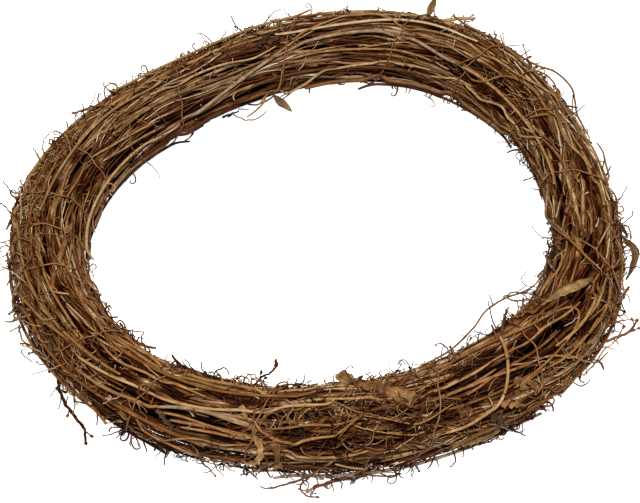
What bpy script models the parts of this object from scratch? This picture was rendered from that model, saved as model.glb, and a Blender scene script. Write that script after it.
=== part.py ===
"""Vine wreath lying flat: long vines wound round and round into one thick ring, a thin wire
wound over them, and loose canes, budded twigs, curled tendrils, dry leaves and bark in it.

Metres, +Z up. The ring lies on z = 0, and its open middle is round the Z axis.
A place on the ring is given by three numbers: the ring angle in degrees (0 at +X, 90 at +Y),
the distance from the centre line of the bundle, and the bundle angle in degrees, which goes
round the bundle's cross-section (0 faces out, 90 up, 180 the hole, 270 down).
"""

import math
import random
from collections import namedtuple

import bmesh
import bpy
from mathutils import Vector

MM = 0.001

# Ring: the centre line of the bundle, and its slightly three-cornered shape
RING_RADIUS = 130.5 * MM
RING_CENTRE = (5.4 * MM, -1.0 * MM)
RING_WAVES = ((2, 0.5 * MM, -0.2 * MM), (3, -3.8 * MM, 0.0), (4, -1.1 * MM, -1.2 * MM))
SECTIONS = 36

# Bundle girth, as a multiple of its slimmest place
GIRTH = 1.149
GIRTH_WAVES = ((1, -0.020, 0.0), (2, -0.052, -0.023), (3, -0.046, 0.0))
GIRTH_LUMPS = ((5, 1, 0.4, 0.014), (9, -2, 1.9, 0.014))

# Thickness of each kind of stem, and the room left between two that cross
HEART_CANE = 4.4 * MM
INNER_CANE = 3.8 * MM
MIDDLE_CANE = 3.0 * MM
OUTER_CANE = 2.4 * MM
WIRE = 0.9 * MM
LOOSE_CANE = 1.8 * MM
TENDRIL = 0.9 * MM
GAP = 0.3 * MM

# A four-sided cane lies on a flat side, which is nearer to its middle than its corners are
FLAT = math.cos(math.pi / 4)
# A vine's corners stand out past its thickness, so that its four sides hold as much wood
CORNER = 1.18

# Distance of each layer from the centre line, where the bundle is slimmest
WIRE_STEPS = 16
HEART_OUT = (HEART_CANE + GAP) / math.sqrt(3.0)
INNER_OUT = HEART_OUT + (HEART_CANE + INNER_CANE) / 2 + GAP
MIDDLE_OUT = INNER_OUT + (INNER_CANE + MIDDLE_CANE) / 2 + GAP
OUTER_OUT = MIDDLE_OUT + (MIDDLE_CANE + OUTER_CANE) / 2 + GAP
WIRE_OUT = (OUTER_OUT + (OUTER_CANE + WIRE) / 2 + GAP) / math.cos(math.pi / WIRE_STEPS)
LOOSE_OUT = WIRE_OUT + WIRE / 2 + LOOSE_CANE / 2 * FLAT + GAP / 2

# Each layer is one long winding of "turns" rounds of the ring, cut into vines. "lay" is how many
# places of the layer a vine has moved along after one round, so all its places fill up in turn.
# "cuts" are the sections, counted along the winding, at which one vine ends and the next begins.
# Each cut lies half-way between two of the ring's section planes.
Layer = namedtuple("Layer", "name distance cane turns lay phase warp wobble cuts colour")
LAYERS = (
    Layer("heart_vine", HEART_OUT, HEART_CANE, 3, 1, 20, 0.10, 0.0, (-0.5, 107.5), "dark_bark"),
    Layer("inner_vine", INNER_OUT, INNER_CANE, 7, -3, 75, 0.22, 0.035, (4.5, 130.5, 256.5),
          "dark_bark"),
    Layer("middle_vine", MIDDLE_OUT, MIDDLE_CANE, 10, 7, 10, 0.30, 0.050,
          (16.5, 138.5, 257.5, 376.5), "brown_bark"),
    Layer("outer_vine", OUTER_OUT, OUTER_CANE, 13, -9, 40, 0.34, 0.060,
          (1.5, 35.5, 68.5, 102.5, 135.5, 169.5, 202.5, 236.5, 269.5, 303.5, 336.5, 370.5, 403.5,
           437.5, 469.5), "tan_bark"),
)
# How far a vine's end stops short of a cut, as a part of a section, and how thin it ends
CUT_SHORT = 0.06
END_TAPER = 0.6

# Ring angles at which the wire crosses the top of the bundle, one wrap after another
WIRE_CROSSINGS = (189.0, 212.0, 231.5, 255.0, 288.0, 307.0, 335.0, 358.5, 379.5, 403.0, 422.5,
                  450.0, 480.5, 513.0, 527.5, 537.0)
WIRE_STEEP = 0.18

# Loose canes over the wire: bundle angle of the lane, first section and colour. The three in
# the lowest lane are the ones that the wreath rests on.
LOOSE_SECTIONS = 4
REST_LANE = 270
LOOSE_LANES = (
    (REST_LANE, 3, "brown_bark"), (REST_LANE, 15, "grey_bark"), (REST_LANE, 27, "brown_bark"),
    (318, 10, "tan_bark"), (318, 19, "brown_bark"), (318, 26, "grey_bark"),
    (355, 6, "brown_bark"), (355, 11, "tan_bark"), (355, 18, "tan_bark"), (355, 29, "tan_bark"),
    (28, 5, "tan_bark"), (28, 13, "brown_bark"), (28, 20, "tan_bark"),
    (62, 1, "grey_bark"), (62, 9, "tan_bark"), (62, 18, "tan_bark"),
    (97, 5, "tan_bark"), (97, 13, "brown_bark"), (97, 22, "tan_bark"),
    (132, 0, "tan_bark"), (132, 10, "grey_bark"), (132, 18, "brown_bark"),
    (168, 6, "brown_bark"), (168, 14, "tan_bark"), (168, 23, "brown_bark"),
    (215, 3, "brown_bark"), (215, 13, "dark_bark"), (215, 31, "brown_bark"),
)
LANE_SWAY = 3.0
LANE_SLANT = 7.0
TIP_LIFT = 2.2 * MM
TENDRIL_STEPS = 8

# Canes with a shape of their own: ring angle, lift above the loose canes in mm, bundle angle
BOWED_CANES = (
    ("loop_cane", "tan_bark", 1.0 * MM,
     ((43, 0, 25), (38.5, 0.3, 20), (35.2, 2.6, 15), (31.8, 6.4, 13), (26.8, 7, 11),
      (23.2, 3.6, 10), (20, 0.5, 7), (14, 0, 1))),
    ("arc_cane", "brown_bark", 0.9 * MM,
     ((286, 0, 118), (294, 0.3, 134), (303, 4.6, 154), (309.6, 8.5, 159), (316, 7.2, 160),
      (320, 3, 157), (323.5, 0.3, 152), (328, 0, 146))),
    ("slanting_cane", "tan_bark", 1.1 * MM,
     ((347, 0.1, 160), (340.3, 0.3, 136), (335, 0.4, 110), (331, 0.3, 84), (329.3, 0.2, 57))),
    ("hairpin_cane", "tan_bark", 1.1 * MM,
     ((300, 0.1, 104), (310.3, 0.2, 90), (315.2, 0.4, 81), (317.9, 0.5, 70), (318, 0.5, 59),
      (315.5, 0.4, 51), (311, 0.2, 46), (300, 0.1, 39))),
)

# Side twigs with buds: the loose cane each grows from, its thickness, and its knots past its
# root, in the same three numbers as above. It grows from the cane a little before the first.
TWIG_ROOT = 1.5
TWIGS = (
    ("loose_cane_318_19", 0.65 * MM,
     ((204, 1.6, 316), (209.7, 5.6, 325), (214.8, 7.6, 328), (218.6, 9, 330), (221.5, 14, 336))),
    ("loose_cane_318_26", 0.65 * MM,
     ((271, 1.4, 314), (265.6, 2.8, 315), (261.5, 6.5, 320))),
    ("loose_cane_355_29", 0.65 * MM,
     ((322.0, 3.3, 353), (324.2, 8, 354), (327.2, 10, 354))),
    ("loose_cane_28_5", 0.9 * MM,
     ((57, 2.4, 22), (53.5, 9, 14))),
    ("loose_cane_355_11", 0.6 * MM,
     ((133.5, 4.5, 360), (138.4, 12.6, 362))),
    ("loose_cane_168_23", 0.6 * MM,
     ((250, 3, 160), (253, 5, 150), (254.5, 8, 146))),
)
TWIG_BUDS = 3
BUD_LENGTH = 2.6 * MM
BUD_WIDTH = 1.7 * MM

# Dry leaves and bark: colour, half width, fold, thickness, and knots of the midrib: ring angle,
# lift above the outer vines in mm, and bundle angle
BLADES = (
    ("narrow_leaf", "dry_leaf", 2.6 * MM, 0.25, 0.7 * MM, "leaf",
     ((327.4, 0.5, 64), (324.3, 0.5, 78), (321.5, 0.5, 91), (318.8, 0.5, 101), (315.8, 0.7, 109))),
    ("edge_leaf", "dry_leaf", 2.2 * MM, 0.25, 0.7 * MM, "leaf",
     ((345, 0.3, 13), (342.9, 3, 11), (340.5, 6.5, 7), (336.2, 3.4, -13))),
    ("low_leaf", "dry_leaf", 2.4 * MM, 0.2, 0.7 * MM, "leaf",
     ((285.5, 0.3, -18), (290, 0.3, -15), (294, 0.3, -14), (298, 1.2, -15))),
    ("top_leaf", "dry_leaf", 2.0 * MM, 0.2, 0.7 * MM, "leaf",
     ((61, 0.5, 42), (61.2, 6, 33), (61.4, 12, 26), (61.6, 17, 22))),
    ("hole_leaf", "dry_leaf", 2.2 * MM, 0.15, 0.7 * MM, "leaf",
     ((97.8, 0.5, 210), (96.5, 4.5, 211), (95, 8, 212), (93.6, 12, 212))),
    ("bark_strip", "dry_bark", 3.2 * MM, -0.12, 0.8 * MM, "strip",
     ((269.4, 5.5, 143), (272, 1.4, 137), (275, 0.6, 118), (277.5, 0.5, 101), (280, 0.5, 84),
      (282, 0.7, 72))),
    ("bark_curl", "dry_bark", 2.0 * MM, 0.5, 0.7 * MM, "strip",
     ((257, 1.6, 32), (257, 0.6, 18), (257, 0.6, 2), (257, 1.8, -13))),
)

COLOURS = {
    "dark_bark": (0.055, 0.028, 0.014),
    "brown_bark": (0.16, 0.075, 0.032),
    "tan_bark": (0.33, 0.17, 0.065),
    "grey_bark": (0.24, 0.17, 0.11),
    "rusty_wire": (0.17, 0.06, 0.03),
    "dry_leaf": (0.34, 0.24, 0.13),
    "dry_bark": (0.30, 0.18, 0.10),
}


def ring_radius(angle):
    """Radius of the bundle's centre line at a ring angle in degrees."""
    turn = math.radians(angle)
    radius = RING_RADIUS
    for order, cos_part, sin_part in RING_WAVES:
        radius += cos_part * math.cos(order * turn) + sin_part * math.sin(order * turn)
    return radius


def girth(angle, bundle):
    """How much the bundle swells at a place, as a multiple of its slimmest."""
    turn = math.radians(angle)
    around = math.radians(bundle)
    swell = GIRTH
    for order, cos_part, sin_part in GIRTH_WAVES:
        swell += cos_part * math.cos(order * turn) + sin_part * math.sin(order * turn)
    for ring_waves, bundle_waves, phase, height in GIRTH_LUMPS:
        swell += height * math.sin(ring_waves * turn + bundle_waves * around + phase)
    return swell


def centre_height(angle):
    """Height of the centre line: a loose cane under the bundle then lies on z = 0."""
    return LOOSE_OUT * girth(angle, 270.0) + LOOSE_CANE / 2 * FLAT


def plane_point(angle, distance, bundle):
    """The point at a place on one of the ring's section planes."""
    turn = math.radians(angle)
    around = math.radians(bundle)
    reach = distance * girth(angle, bundle)
    radius = ring_radius(angle) + reach * math.cos(around)
    height = centre_height(angle) + reach * math.sin(around)
    return Vector((RING_CENTRE[0] + radius * math.cos(turn),
                   RING_CENTRE[1] + radius * math.sin(turn), height))


def ring_point(angle, distance, bundle):
    """The point at any place. It runs straight between the ring's section planes."""
    step = 360.0 / SECTIONS
    first = math.floor(angle / step)
    part = angle / step - first
    low = plane_point(first * step, distance, bundle)
    high = plane_point((first + 1) * step, distance, bundle)
    return low.lerp(high, part)


def outward(angle, bundle):
    """The direction away from the centre line at a place."""
    turn = math.radians(angle)
    around = math.radians(bundle)
    flat = math.cos(around)
    return Vector((flat * math.cos(turn), flat * math.sin(turn), math.sin(around)))


def smooth_path(knots, steps):
    """A smooth curve through knots of any number of values, with steps points to each span."""
    points = []
    last = len(knots) - 1
    for i in range(last):
        before = knots[max(i - 1, 0)]
        start = knots[i]
        end = knots[i + 1]
        after = knots[min(i + 2, last)]
        for k in range(steps):
            t = k / steps
            point = []
            for a, b, c, d in zip(before, start, end, after):
                curve = 2 * b + (c - a) * t + (2 * a - 5 * b + 4 * c - d) * t * t
                point.append(0.5 * (curve + (3 * b - a - 3 * c + d) * t ** 3))
            points.append(tuple(point))
    points.append(tuple(knots[last]))
    return points


def tangents(points):
    """Unit direction of a path at each of its points."""
    last = len(points) - 1
    return [(points[min(i + 1, last)] - points[max(i - 1, 0)]).normalized()
            for i in range(last + 1)]


def tube(points, radii, sides, facing=None):
    """A closed tube along points. facing gives each point a direction that a flat side faces."""
    mesh = bmesh.new()
    along = tangents(points)
    across = facing[0] if facing else along[0].orthogonal()
    rings = []
    for i, point in enumerate(points):
        if facing:
            across = facing[i]
        across = (across - along[i] * across.dot(along[i])).normalized()
        other = along[i].cross(across)
        ring = []
        for k in range(sides):
            turn = 2 * math.pi * (k + 0.5) / sides
            offset = across * math.cos(turn) + other * math.sin(turn)
            ring.append(mesh.verts.new(point + offset * radii[i]))
        rings.append(ring)
    for low, high in zip(rings, rings[1:]):
        for k in range(sides):
            n = (k + 1) % sides
            mesh.faces.new((low[k], low[n], high[n], high[k]))
    mesh.faces.new(list(reversed(rings[0])))
    mesh.faces.new(rings[-1])
    return mesh


def blade(spine, normals, widths, fold, thickness):
    """A thin closed blade along a spine, folded up by fold on both sides of its midrib."""
    mesh = bmesh.new()
    along = tangents(spine)
    top = []
    bottom = []
    for i, point in enumerate(spine):
        normal = (normals[i] - along[i] * normals[i].dot(along[i])).normalized()
        side = along[i].cross(normal)
        rise = normal * fold * widths[i]
        row = (point - side * widths[i] + rise, point, point + side * widths[i] + rise)
        top.append([mesh.verts.new(p + normal * thickness / 2) for p in row])
        bottom.append([mesh.verts.new(p - normal * thickness / 2) for p in row])
    for i in range(len(spine) - 1):
        for j in range(2):
            a, b, c, d = top[i][j], top[i][j + 1], top[i + 1][j + 1], top[i + 1][j]
            mesh.faces.new((a, b, c))
            mesh.faces.new((a, c, d))
            a, b, c, d = bottom[i][j], bottom[i][j + 1], bottom[i + 1][j + 1], bottom[i + 1][j]
            mesh.faces.new((c, b, a))
            mesh.faces.new((d, c, a))
        for j in (0, 2):
            wall = (top[i][j], top[i + 1][j], bottom[i + 1][j], bottom[i][j])
            mesh.faces.new(wall if j == 0 else tuple(reversed(wall)))
    for i in (0, len(spine) - 1):
        for j in range(2):
            wall = (top[i][j], bottom[i][j], bottom[i][j + 1], top[i][j + 1])
            mesh.faces.new(wall if i == 0 else tuple(reversed(wall)))
    return mesh


def bud(centre, direction, length, width):
    """A small pointed bud: two four-sided points, base to base."""
    points = [centre + direction * length * t for t in (-0.5, -0.1, 0.5)]
    return tube(points, (width * 0.2, width * 0.5, width * 0.12), 4)


def material(name):
    """The bark, leaf or wire finish of one colour."""
    found = bpy.data.materials.get(name)
    if found:
        return found
    made = bpy.data.materials.new(name)
    made.use_nodes = True
    shader = made.node_tree.nodes["Principled BSDF"]
    shader.inputs["Base Color"].default_value = COLOURS[name] + (1.0,)
    shader.inputs["Roughness"].default_value = 0.75
    shader.inputs["Metallic"].default_value = 0.6 if name == "rusty_wire" else 0.0
    return made


def place(name, mesh, colour):
    """Put a finished shape into the scene as one named object."""
    bmesh.ops.recalc_face_normals(mesh, faces=mesh.faces[:])
    data = bpy.data.meshes.new(name)
    mesh.to_mesh(data)
    mesh.free()
    thing = bpy.data.objects.new(name, data)
    data.materials.append(material(colour))
    data.shade_smooth()
    bpy.context.scene.collection.objects.link(thing)
    return thing


def fuse(name, shapes, colour):
    """Join a stem and all that grows from it into one solid."""
    stem = place(name, shapes[0], colour)
    if len(shapes) == 1:
        return stem
    growth = bpy.data.collections.new(name + "_growth")
    bpy.context.scene.collection.children.link(growth)
    for i, shape in enumerate(shapes[1:]):
        piece = place(name + "_growth_" + str(i), shape, colour)
        bpy.context.scene.collection.objects.unlink(piece)
        growth.objects.link(piece)
    union = stem.modifiers.new("union", "BOOLEAN")
    union.operation = "UNION"
    union.operand_type = "COLLECTION"
    union.collection = growth
    union.solver = "MANIFOLD"
    bpy.context.view_layer.update()
    graph = bpy.context.evaluated_depsgraph_get()
    joined = bpy.data.meshes.new_from_object(stem.evaluated_get(graph))
    stem.modifiers.clear()
    plain = stem.data
    stem.data = joined
    joined.name = name
    bpy.data.meshes.remove(plain)
    for piece in list(growth.objects):
        bpy.data.objects.remove(piece)
    bpy.data.collections.remove(growth)
    return stem


def layer_bundle_angle(layer, section):
    """Bundle angle of a layer's winding at a section, counted along the whole winding."""
    turns = section / SECTIONS
    turn = 2 * math.pi * turns
    straight = math.radians(layer.phase) + turn * layer.lay / layer.turns
    sway = 1.1 * math.sin(2 * turn + layer.phase) + 0.9 * math.sin(3 * turn + 2.0 * layer.phase)
    crowd = 0.45 * math.sin(straight + turn + layer.phase)
    crowd += 0.25 * math.sin(2 * straight - turn + 1.7 * layer.phase)
    wobble = math.sin(2 * math.pi * 3.37 * turns + 1.0)
    wobble += 0.6 * math.sin(2 * math.pi * 5.83 * turns + 2.5)
    return math.degrees(straight + layer.warp * (sway + crowd) + layer.wobble * wobble)


def section_place(layer, section):
    """Point and outward direction of a layer's winding on a section plane."""
    angle = section * 360.0 / SECTIONS
    bundle = layer_bundle_angle(layer, section)
    return plane_point(angle, layer.distance, bundle), outward(angle, bundle)


def wind_layer(layer):
    """The vines of one layer, one after another along its winding."""
    for number, (start, stop) in enumerate(zip(layer.cuts, layer.cuts[1:]), 1):
        first = math.ceil(start)
        last = math.floor(stop)
        points = []
        facing = []
        radii = []
        for section in range(first, last + 1):
            point, out = section_place(layer, section)
            points.append(point)
            facing.append(out)
            swell = 0.93 + 0.07 * math.sin(0.9 * section + layer.phase)
            radii.append(layer.cane / 2 * CORNER * swell)
        short = 0.5 - CUT_SHORT
        before, out = section_place(layer, first - 1)
        points.insert(0, points[0].lerp(before, short))
        facing.insert(0, out)
        after, out = section_place(layer, last + 1)
        points.append(points[-1].lerp(after, short))
        facing.append(out)
        radii = [radii[0] * END_TAPER] + radii + [radii[-1] * END_TAPER]
        name = layer.name + "_" + str(number)
        place(name, tube(points, radii, 4, facing), layer.colour)


def wire_angle(bundle_turns):
    """Ring angle that the wire has reached after so many times round the bundle."""
    wrap = math.floor(bundle_turns)
    part = bundle_turns - wrap
    last = len(WIRE_CROSSINGS) - 1
    here = WIRE_CROSSINGS[min(max(wrap, 0), last)]
    before = here - WIRE_CROSSINGS[wrap - 1] if 0 < wrap <= last else 20.0
    after = WIRE_CROSSINGS[wrap + 1] - here if 0 <= wrap < last else 20.0
    if wrap < 0:
        here -= 20.0
    if part < 0.25:
        return here + WIRE_STEEP * after * part / 0.25
    if part > 0.75:
        return here + after * (1 - WIRE_STEEP * (1 - part) / 0.25)
    return here + after * (WIRE_STEEP + (1 - 2 * WIRE_STEEP) * (part - 0.25) / 0.5)


def wind_wire():
    """The thin wire, wound over the vines in one long run of wraps."""
    wraps = len(WIRE_CROSSINGS) - 1
    first = -0.35
    steps = round((wraps - 2 * first) * WIRE_STEPS)
    points = []
    for k in range(steps + 1):
        bundle_turns = first + k / WIRE_STEPS
        bundle = 90.0 + 360.0 * bundle_turns
        points.append(ring_point(wire_angle(bundle_turns), WIRE_OUT, bundle))
    place("binding_wire", tube(points, [WIRE / 2] * len(points), 3), "rusty_wire")


def on_layer(angle, distance, lift, bundle):
    """A point lifted straight off a layer by a real distance."""
    return ring_point(angle, distance, bundle) + outward(angle, bundle) * lift


def with_section_points(samples):
    """Add a sample wherever a path crosses one of the ring's section planes."""
    step = 360.0 / SECTIONS
    result = [samples[0]]
    for a, b in zip(samples, samples[1:]):
        plane = max(math.floor(a[0] / step), math.floor(b[0] / step)) * step
        if math.floor(a[0] / step) != math.floor(b[0] / step):
            part = (plane - a[0]) / (b[0] - a[0])
            if 0.15 < part < 0.85:
                result.append(tuple(u + (v - u) * part for u, v in zip(a, b)))
        result.append(b)
    return result


def tendril(root, reach, side, length, turns):
    """A thin shoot that curls up towards its tip, in the plane of reach and side."""
    steps = TENDRIL_STEPS
    drift = reach.cross(side) * 0.25
    point = root.copy()
    points = [point.copy()]
    radii = [TENDRIL / 2]
    for k in range(1, steps + 1):
        t = k / steps
        heading = 2 * math.pi * turns * t ** 1.7
        stride = length / steps * (1.35 - 0.7 * t)
        point = point + (reach * math.cos(heading) + side * math.sin(heading) + drift) * stride
        points.append(point.copy())
        radii.append(TENDRIL / 2 * (1 - 0.35 * t))
    return tube(points, radii, 3)


def twig(knots, thickness, seed):
    """The shapes of a budded twig: its stem, side shoots and buds."""
    rng = random.Random(seed)
    samples = smooth_path(knots, 2)
    points = [on_layer(a, LOOSE_OUT, lift * MM, bundle) for a, lift, bundle in samples]
    radii = [thickness * (1 - 0.35 * i / (len(points) - 1)) for i in range(len(points))]
    along = tangents(points)
    shapes = [tube(points, radii, 4)]
    shapes.append(bud(points[-1], along[-1], BUD_LENGTH, BUD_WIDTH))
    for k in range(1, TWIG_BUDS):
        i = round((len(points) - 1) * (0.3 + 0.7 * k / TWIG_BUDS))
        side = along[i].cross(Vector((0, 0, 1))).normalized() * (1 if k % 2 else -1)
        lean = (side + along[i] * 0.8 + Vector((0, 0, rng.uniform(0.0, 0.5)))).normalized()
        tip = points[i] + lean * rng.uniform(2.5, 4.5) * MM
        shoot = [points[i], points[i].lerp(tip, 0.5), tip]
        shapes.append(tube(shoot, [thickness * 0.62] * 3, 3))
        shapes.append(bud(tip, lean, BUD_LENGTH * 0.8, BUD_WIDTH * 0.8))
    return shapes


def bundle_angle_at(places, angle):
    """Bundle angle of a loose cane where it passes a ring angle."""
    for (start, _, low), (end, _, high) in zip(places, places[1:]):
        if start <= angle <= end:
            return low + (high - low) * (angle - start) / (end - start)
    return places[-1][2]


def lay_loose_cane(lane, first, colour):
    """One short cane lying over the wire, with its tips lifted and tendrils along it."""
    name = "loose_cane_" + str(lane) + "_" + str(first)
    rng = random.Random(name)
    resting = lane == REST_LANE
    slant = 0.0 if resting else rng.uniform(-LANE_SLANT, LANE_SLANT)
    sway = 0.0 if resting else rng.uniform(-LANE_SWAY, LANE_SWAY)
    step = 360.0 / SECTIONS
    tip = 0.0 if resting else TIP_LIFT
    places = []
    for k in range(LOOSE_SECTIONS + 1):
        t = k / LOOSE_SECTIONS
        bundle = lane + slant * (2 * t - 1) + sway * math.sin(2 * math.pi * t)
        places.append(((first + k) * step, 0.0, bundle))
    head = (places[0][0] - 0.45 * step, tip * rng.uniform(0.5, 1.5), places[0][2])
    tail = (places[-1][0] + 0.45 * step, tip * rng.uniform(0.5, 1.5), places[-1][2])
    places = [head] + places + [tail]
    points = [on_layer(a, LOOSE_OUT, lift, bundle) for a, lift, bundle in places]
    facing = [outward(a, bundle) for a, lift, bundle in places]
    radii = [LOOSE_CANE / 2] * len(points)
    radii[0] = LOOSE_CANE * 0.3
    radii[-1] = LOOSE_CANE * 0.35
    if resting:
        return place(name, tube(points, [LOOSE_CANE / 2] * len(points), 4, facing), colour)
    shapes = [tube(points, radii, 4, facing)]
    along = tangents(points)
    for i in rng.choice(((2,), (4,), (2, 4))):
        root = points[i].lerp(points[i + 1], rng.uniform(0.25, 0.75))
        reach = (facing[i] + along[i] * rng.uniform(-0.9, 0.9)).normalized()
        side = along[i] * rng.choice((-1, 1))
        side = (side - reach * side.dot(reach) + facing[i].cross(along[i]) * 0.3).normalized()
        side = (side - reach * side.dot(reach)).normalized()
        length = rng.uniform(9.0, 15.0) * MM
        shapes.append(tendril(root, reach, side, length, rng.uniform(0.6, 1.0)))
    for number, (cane, thickness, knots) in enumerate(TWIGS):
        if cane == name:
            from_angle = knots[0][0] - TWIG_ROOT * math.copysign(1, knots[1][0] - knots[0][0])
            root = (from_angle, 0.0, bundle_angle_at(places, from_angle))
            shapes.extend(twig((root,) + knots, thickness, number))
    return fuse(name, shapes, colour)


def bow_cane(name, colour, radius, knots):
    """A loose cane that bows away from the bundle and comes back to it."""
    samples = with_section_points(smooth_path(knots, 2))
    points = [on_layer(a, LOOSE_OUT, lift * MM, bundle) for a, lift, bundle in samples]
    facing = [outward(a, bundle) for a, lift, bundle in samples]
    radii = [radius] * len(points)
    radii[0] = radii[-1] = radius * 0.6
    place(name, tube(points, radii, 4, facing), colour)


def half_widths(kind, half_width, count):
    """Half widths along a blade: a leaf is pointed, and a bark strip is torn off square."""
    widths = []
    for i in range(count):
        t = i / (count - 1)
        if kind == "leaf":
            widths.append(half_width * max(0.16, math.sin(math.pi * t ** 0.85) ** 0.8))
        else:
            widths.append(half_width * (0.8 + 0.25 * math.cos(2 * math.pi * t)))
    return widths


def lay_blade(name, colour, half_width, fold, thickness, kind, knots):
    """A dry leaf or a strip of bark caught on the outer vines."""
    samples = with_section_points(smooth_path(knots, 2))
    base = OUTER_CANE / 2 + GAP
    points = [on_layer(a, OUTER_OUT, base + lift * MM, bundle) for a, lift, bundle in samples]
    normals = [outward(a, bundle) for a, lift, bundle in samples]
    widths = half_widths(kind, half_width, len(points))
    place(name, blade(points, normals, widths, fold, thickness), colour)


def build():
    """Make every piece of the wreath."""
    for layer in LAYERS:
        wind_layer(layer)
    wind_wire()
    for lane, first, colour in LOOSE_LANES:
        lay_loose_cane(lane, first, colour)
    for cane in BOWED_CANES:
        bow_cane(*cane)
    for strip in BLADES:
        lay_blade(*strip)


for old in list(bpy.data.objects):
    bpy.data.objects.remove(old)
build()
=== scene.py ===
"""Looks of the vine wreath: finer vines, wire, canes, twigs, leaves and bark over the fixed frame.

A place on the ring is given as in the solids: the ring angle in degrees (0 at +X, 90 at +Y), the
distance from the centre line of the bundle, and the bundle angle in degrees (0 faces out, 90 up,
180 the hole, 270 down). A lift is a real distance straight away from the centre line.
"""

import math
import random

import bpy
import mathutils
import numpy as np
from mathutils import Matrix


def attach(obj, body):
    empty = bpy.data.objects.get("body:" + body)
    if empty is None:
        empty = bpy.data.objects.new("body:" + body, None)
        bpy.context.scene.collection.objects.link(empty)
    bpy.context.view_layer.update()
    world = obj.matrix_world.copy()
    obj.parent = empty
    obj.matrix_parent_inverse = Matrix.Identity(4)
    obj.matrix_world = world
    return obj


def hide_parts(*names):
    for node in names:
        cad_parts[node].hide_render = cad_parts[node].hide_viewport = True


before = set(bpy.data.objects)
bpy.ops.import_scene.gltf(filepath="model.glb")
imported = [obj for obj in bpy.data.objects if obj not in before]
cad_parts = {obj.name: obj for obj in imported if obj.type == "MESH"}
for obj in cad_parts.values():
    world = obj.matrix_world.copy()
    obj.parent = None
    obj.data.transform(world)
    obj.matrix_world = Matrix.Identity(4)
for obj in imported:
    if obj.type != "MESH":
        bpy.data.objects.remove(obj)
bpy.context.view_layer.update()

MM = 0.001

# The ring and its bundle, as in the solids
RING_RADIUS = 130.5 * MM
RING_CENTRE = (5.4 * MM, -1.0 * MM)
RING_WAVES = ((2, 0.5 * MM, -0.2 * MM), (3, -3.8 * MM, 0.0), (4, -1.1 * MM, -1.2 * MM))
SECTION = 10.0
GIRTH = 1.149
GIRTH_WAVES = ((1, -0.020, 0.0), (2, -0.052, -0.023), (3, -0.046, 0.0))
GIRTH_LUMPS = ((5, 1, 0.4, 0.014), (9, -2, 1.9, 0.014))
HEART_CANE = 4.4 * MM
INNER_CANE = 3.8 * MM
MIDDLE_CANE = 3.0 * MM
OUTER_CANE = 2.4 * MM
WIRE = 0.9 * MM
LOOSE_CANE = 1.8 * MM
TENDRIL = 0.9 * MM
GAP = 0.3 * MM
FLAT = math.cos(math.pi / 4)
WIRE_STEPS = 16
HEART_OUT = (HEART_CANE + GAP) / math.sqrt(3.0)
INNER_OUT = HEART_OUT + (HEART_CANE + INNER_CANE) / 2 + GAP
MIDDLE_OUT = INNER_OUT + (INNER_CANE + MIDDLE_CANE) / 2 + GAP
OUTER_OUT = MIDDLE_OUT + (MIDDLE_CANE + OUTER_CANE) / 2 + GAP
WIRE_OUT = (OUTER_OUT + (OUTER_CANE + WIRE) / 2 + GAP) / math.cos(math.pi / WIRE_STEPS)
LOOSE_OUT = WIRE_OUT + WIRE / 2 + LOOSE_CANE / 2 * FLAT + GAP / 2
DEGREES_PER_MM = math.degrees(MM / RING_RADIUS)


def with_waves(value, turn, waves):
    """A value with waves added to it, each an order, a cosine part and a sine part."""
    for order, cos_part, sin_part in waves:
        value = value + cos_part * np.cos(order * turn) + sin_part * np.sin(order * turn)
    return value


def ring_radius(turn):
    """Radius of the bundle's centre line."""
    return with_waves(RING_RADIUS, turn, RING_WAVES)


def girth(turn, around):
    """How much the bundle swells, as a multiple of its slimmest place."""
    swell = with_waves(GIRTH, turn, GIRTH_WAVES)
    for ring_waves, bundle_waves, phase, height in GIRTH_LUMPS:
        swell = swell + height * np.sin(ring_waves * turn + bundle_waves * around + phase)
    return swell


def swell_at(angle, bundle):
    """The girth at a ring angle and a bundle angle in degrees."""
    return girth(np.radians(angle), np.radians(bundle))


def centre_height(turn):
    """Height of the bundle's centre line over the rest plane."""
    return LOOSE_OUT * girth(turn, np.radians(270.0)) + LOOSE_CANE / 2 * FLAT


def turn_between(a, b):
    """The shorter turn from b to a, in degrees."""
    return (a - b + 180.0) % 360.0 - 180.0


def places(angle, distance, bundle, lift=0.0):
    """Points at places on the ring, as rows of x, y and z."""
    turn = np.radians(angle)
    around = np.radians(bundle)
    reach = distance * girth(turn, around) + lift
    radius = ring_radius(turn) + reach * np.cos(around)
    height = centre_height(turn) + reach * np.sin(around)
    x = RING_CENTRE[0] + radius * np.cos(turn)
    y = RING_CENTRE[1] + radius * np.sin(turn)
    return np.stack((x, y, height), axis=-1)


# The camera at the photo's place, and the photo's size in pixels
CAMERA_RISE = 45.43
CAMERA_ROLL = -8.05
CAMERA_FAR = 0.85
CAMERA_AIM = (0.0033, -0.0196, 0.020)
CAMERA_LENS = 99.3
CAMERA_SENSOR = 36.0
CAMERA_CLIP = (0.05, 20.0)
PHOTO_WIDE = 640
PHOTO_HIGH = 503
# How far from the eye a line of sight is looked along, in metres
SIGHT_LINE = np.linspace(0.70, 1.02, 6401)[:, None]


def camera_frame():
    """The camera's place, and the directions to its right, up and back."""
    rise = math.radians(CAMERA_RISE)
    roll = math.radians(CAMERA_ROLL)
    back = np.array((0.0, -math.cos(rise), math.sin(rise)))
    level = np.array((1.0, 0.0, 0.0))
    climb = np.cross(back, level)
    right = level * math.cos(roll) + climb * math.sin(roll)
    up = climb * math.cos(roll) - level * math.sin(roll)
    return np.array(CAMERA_AIM) + back * CAMERA_FAR, right, up, back


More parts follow.
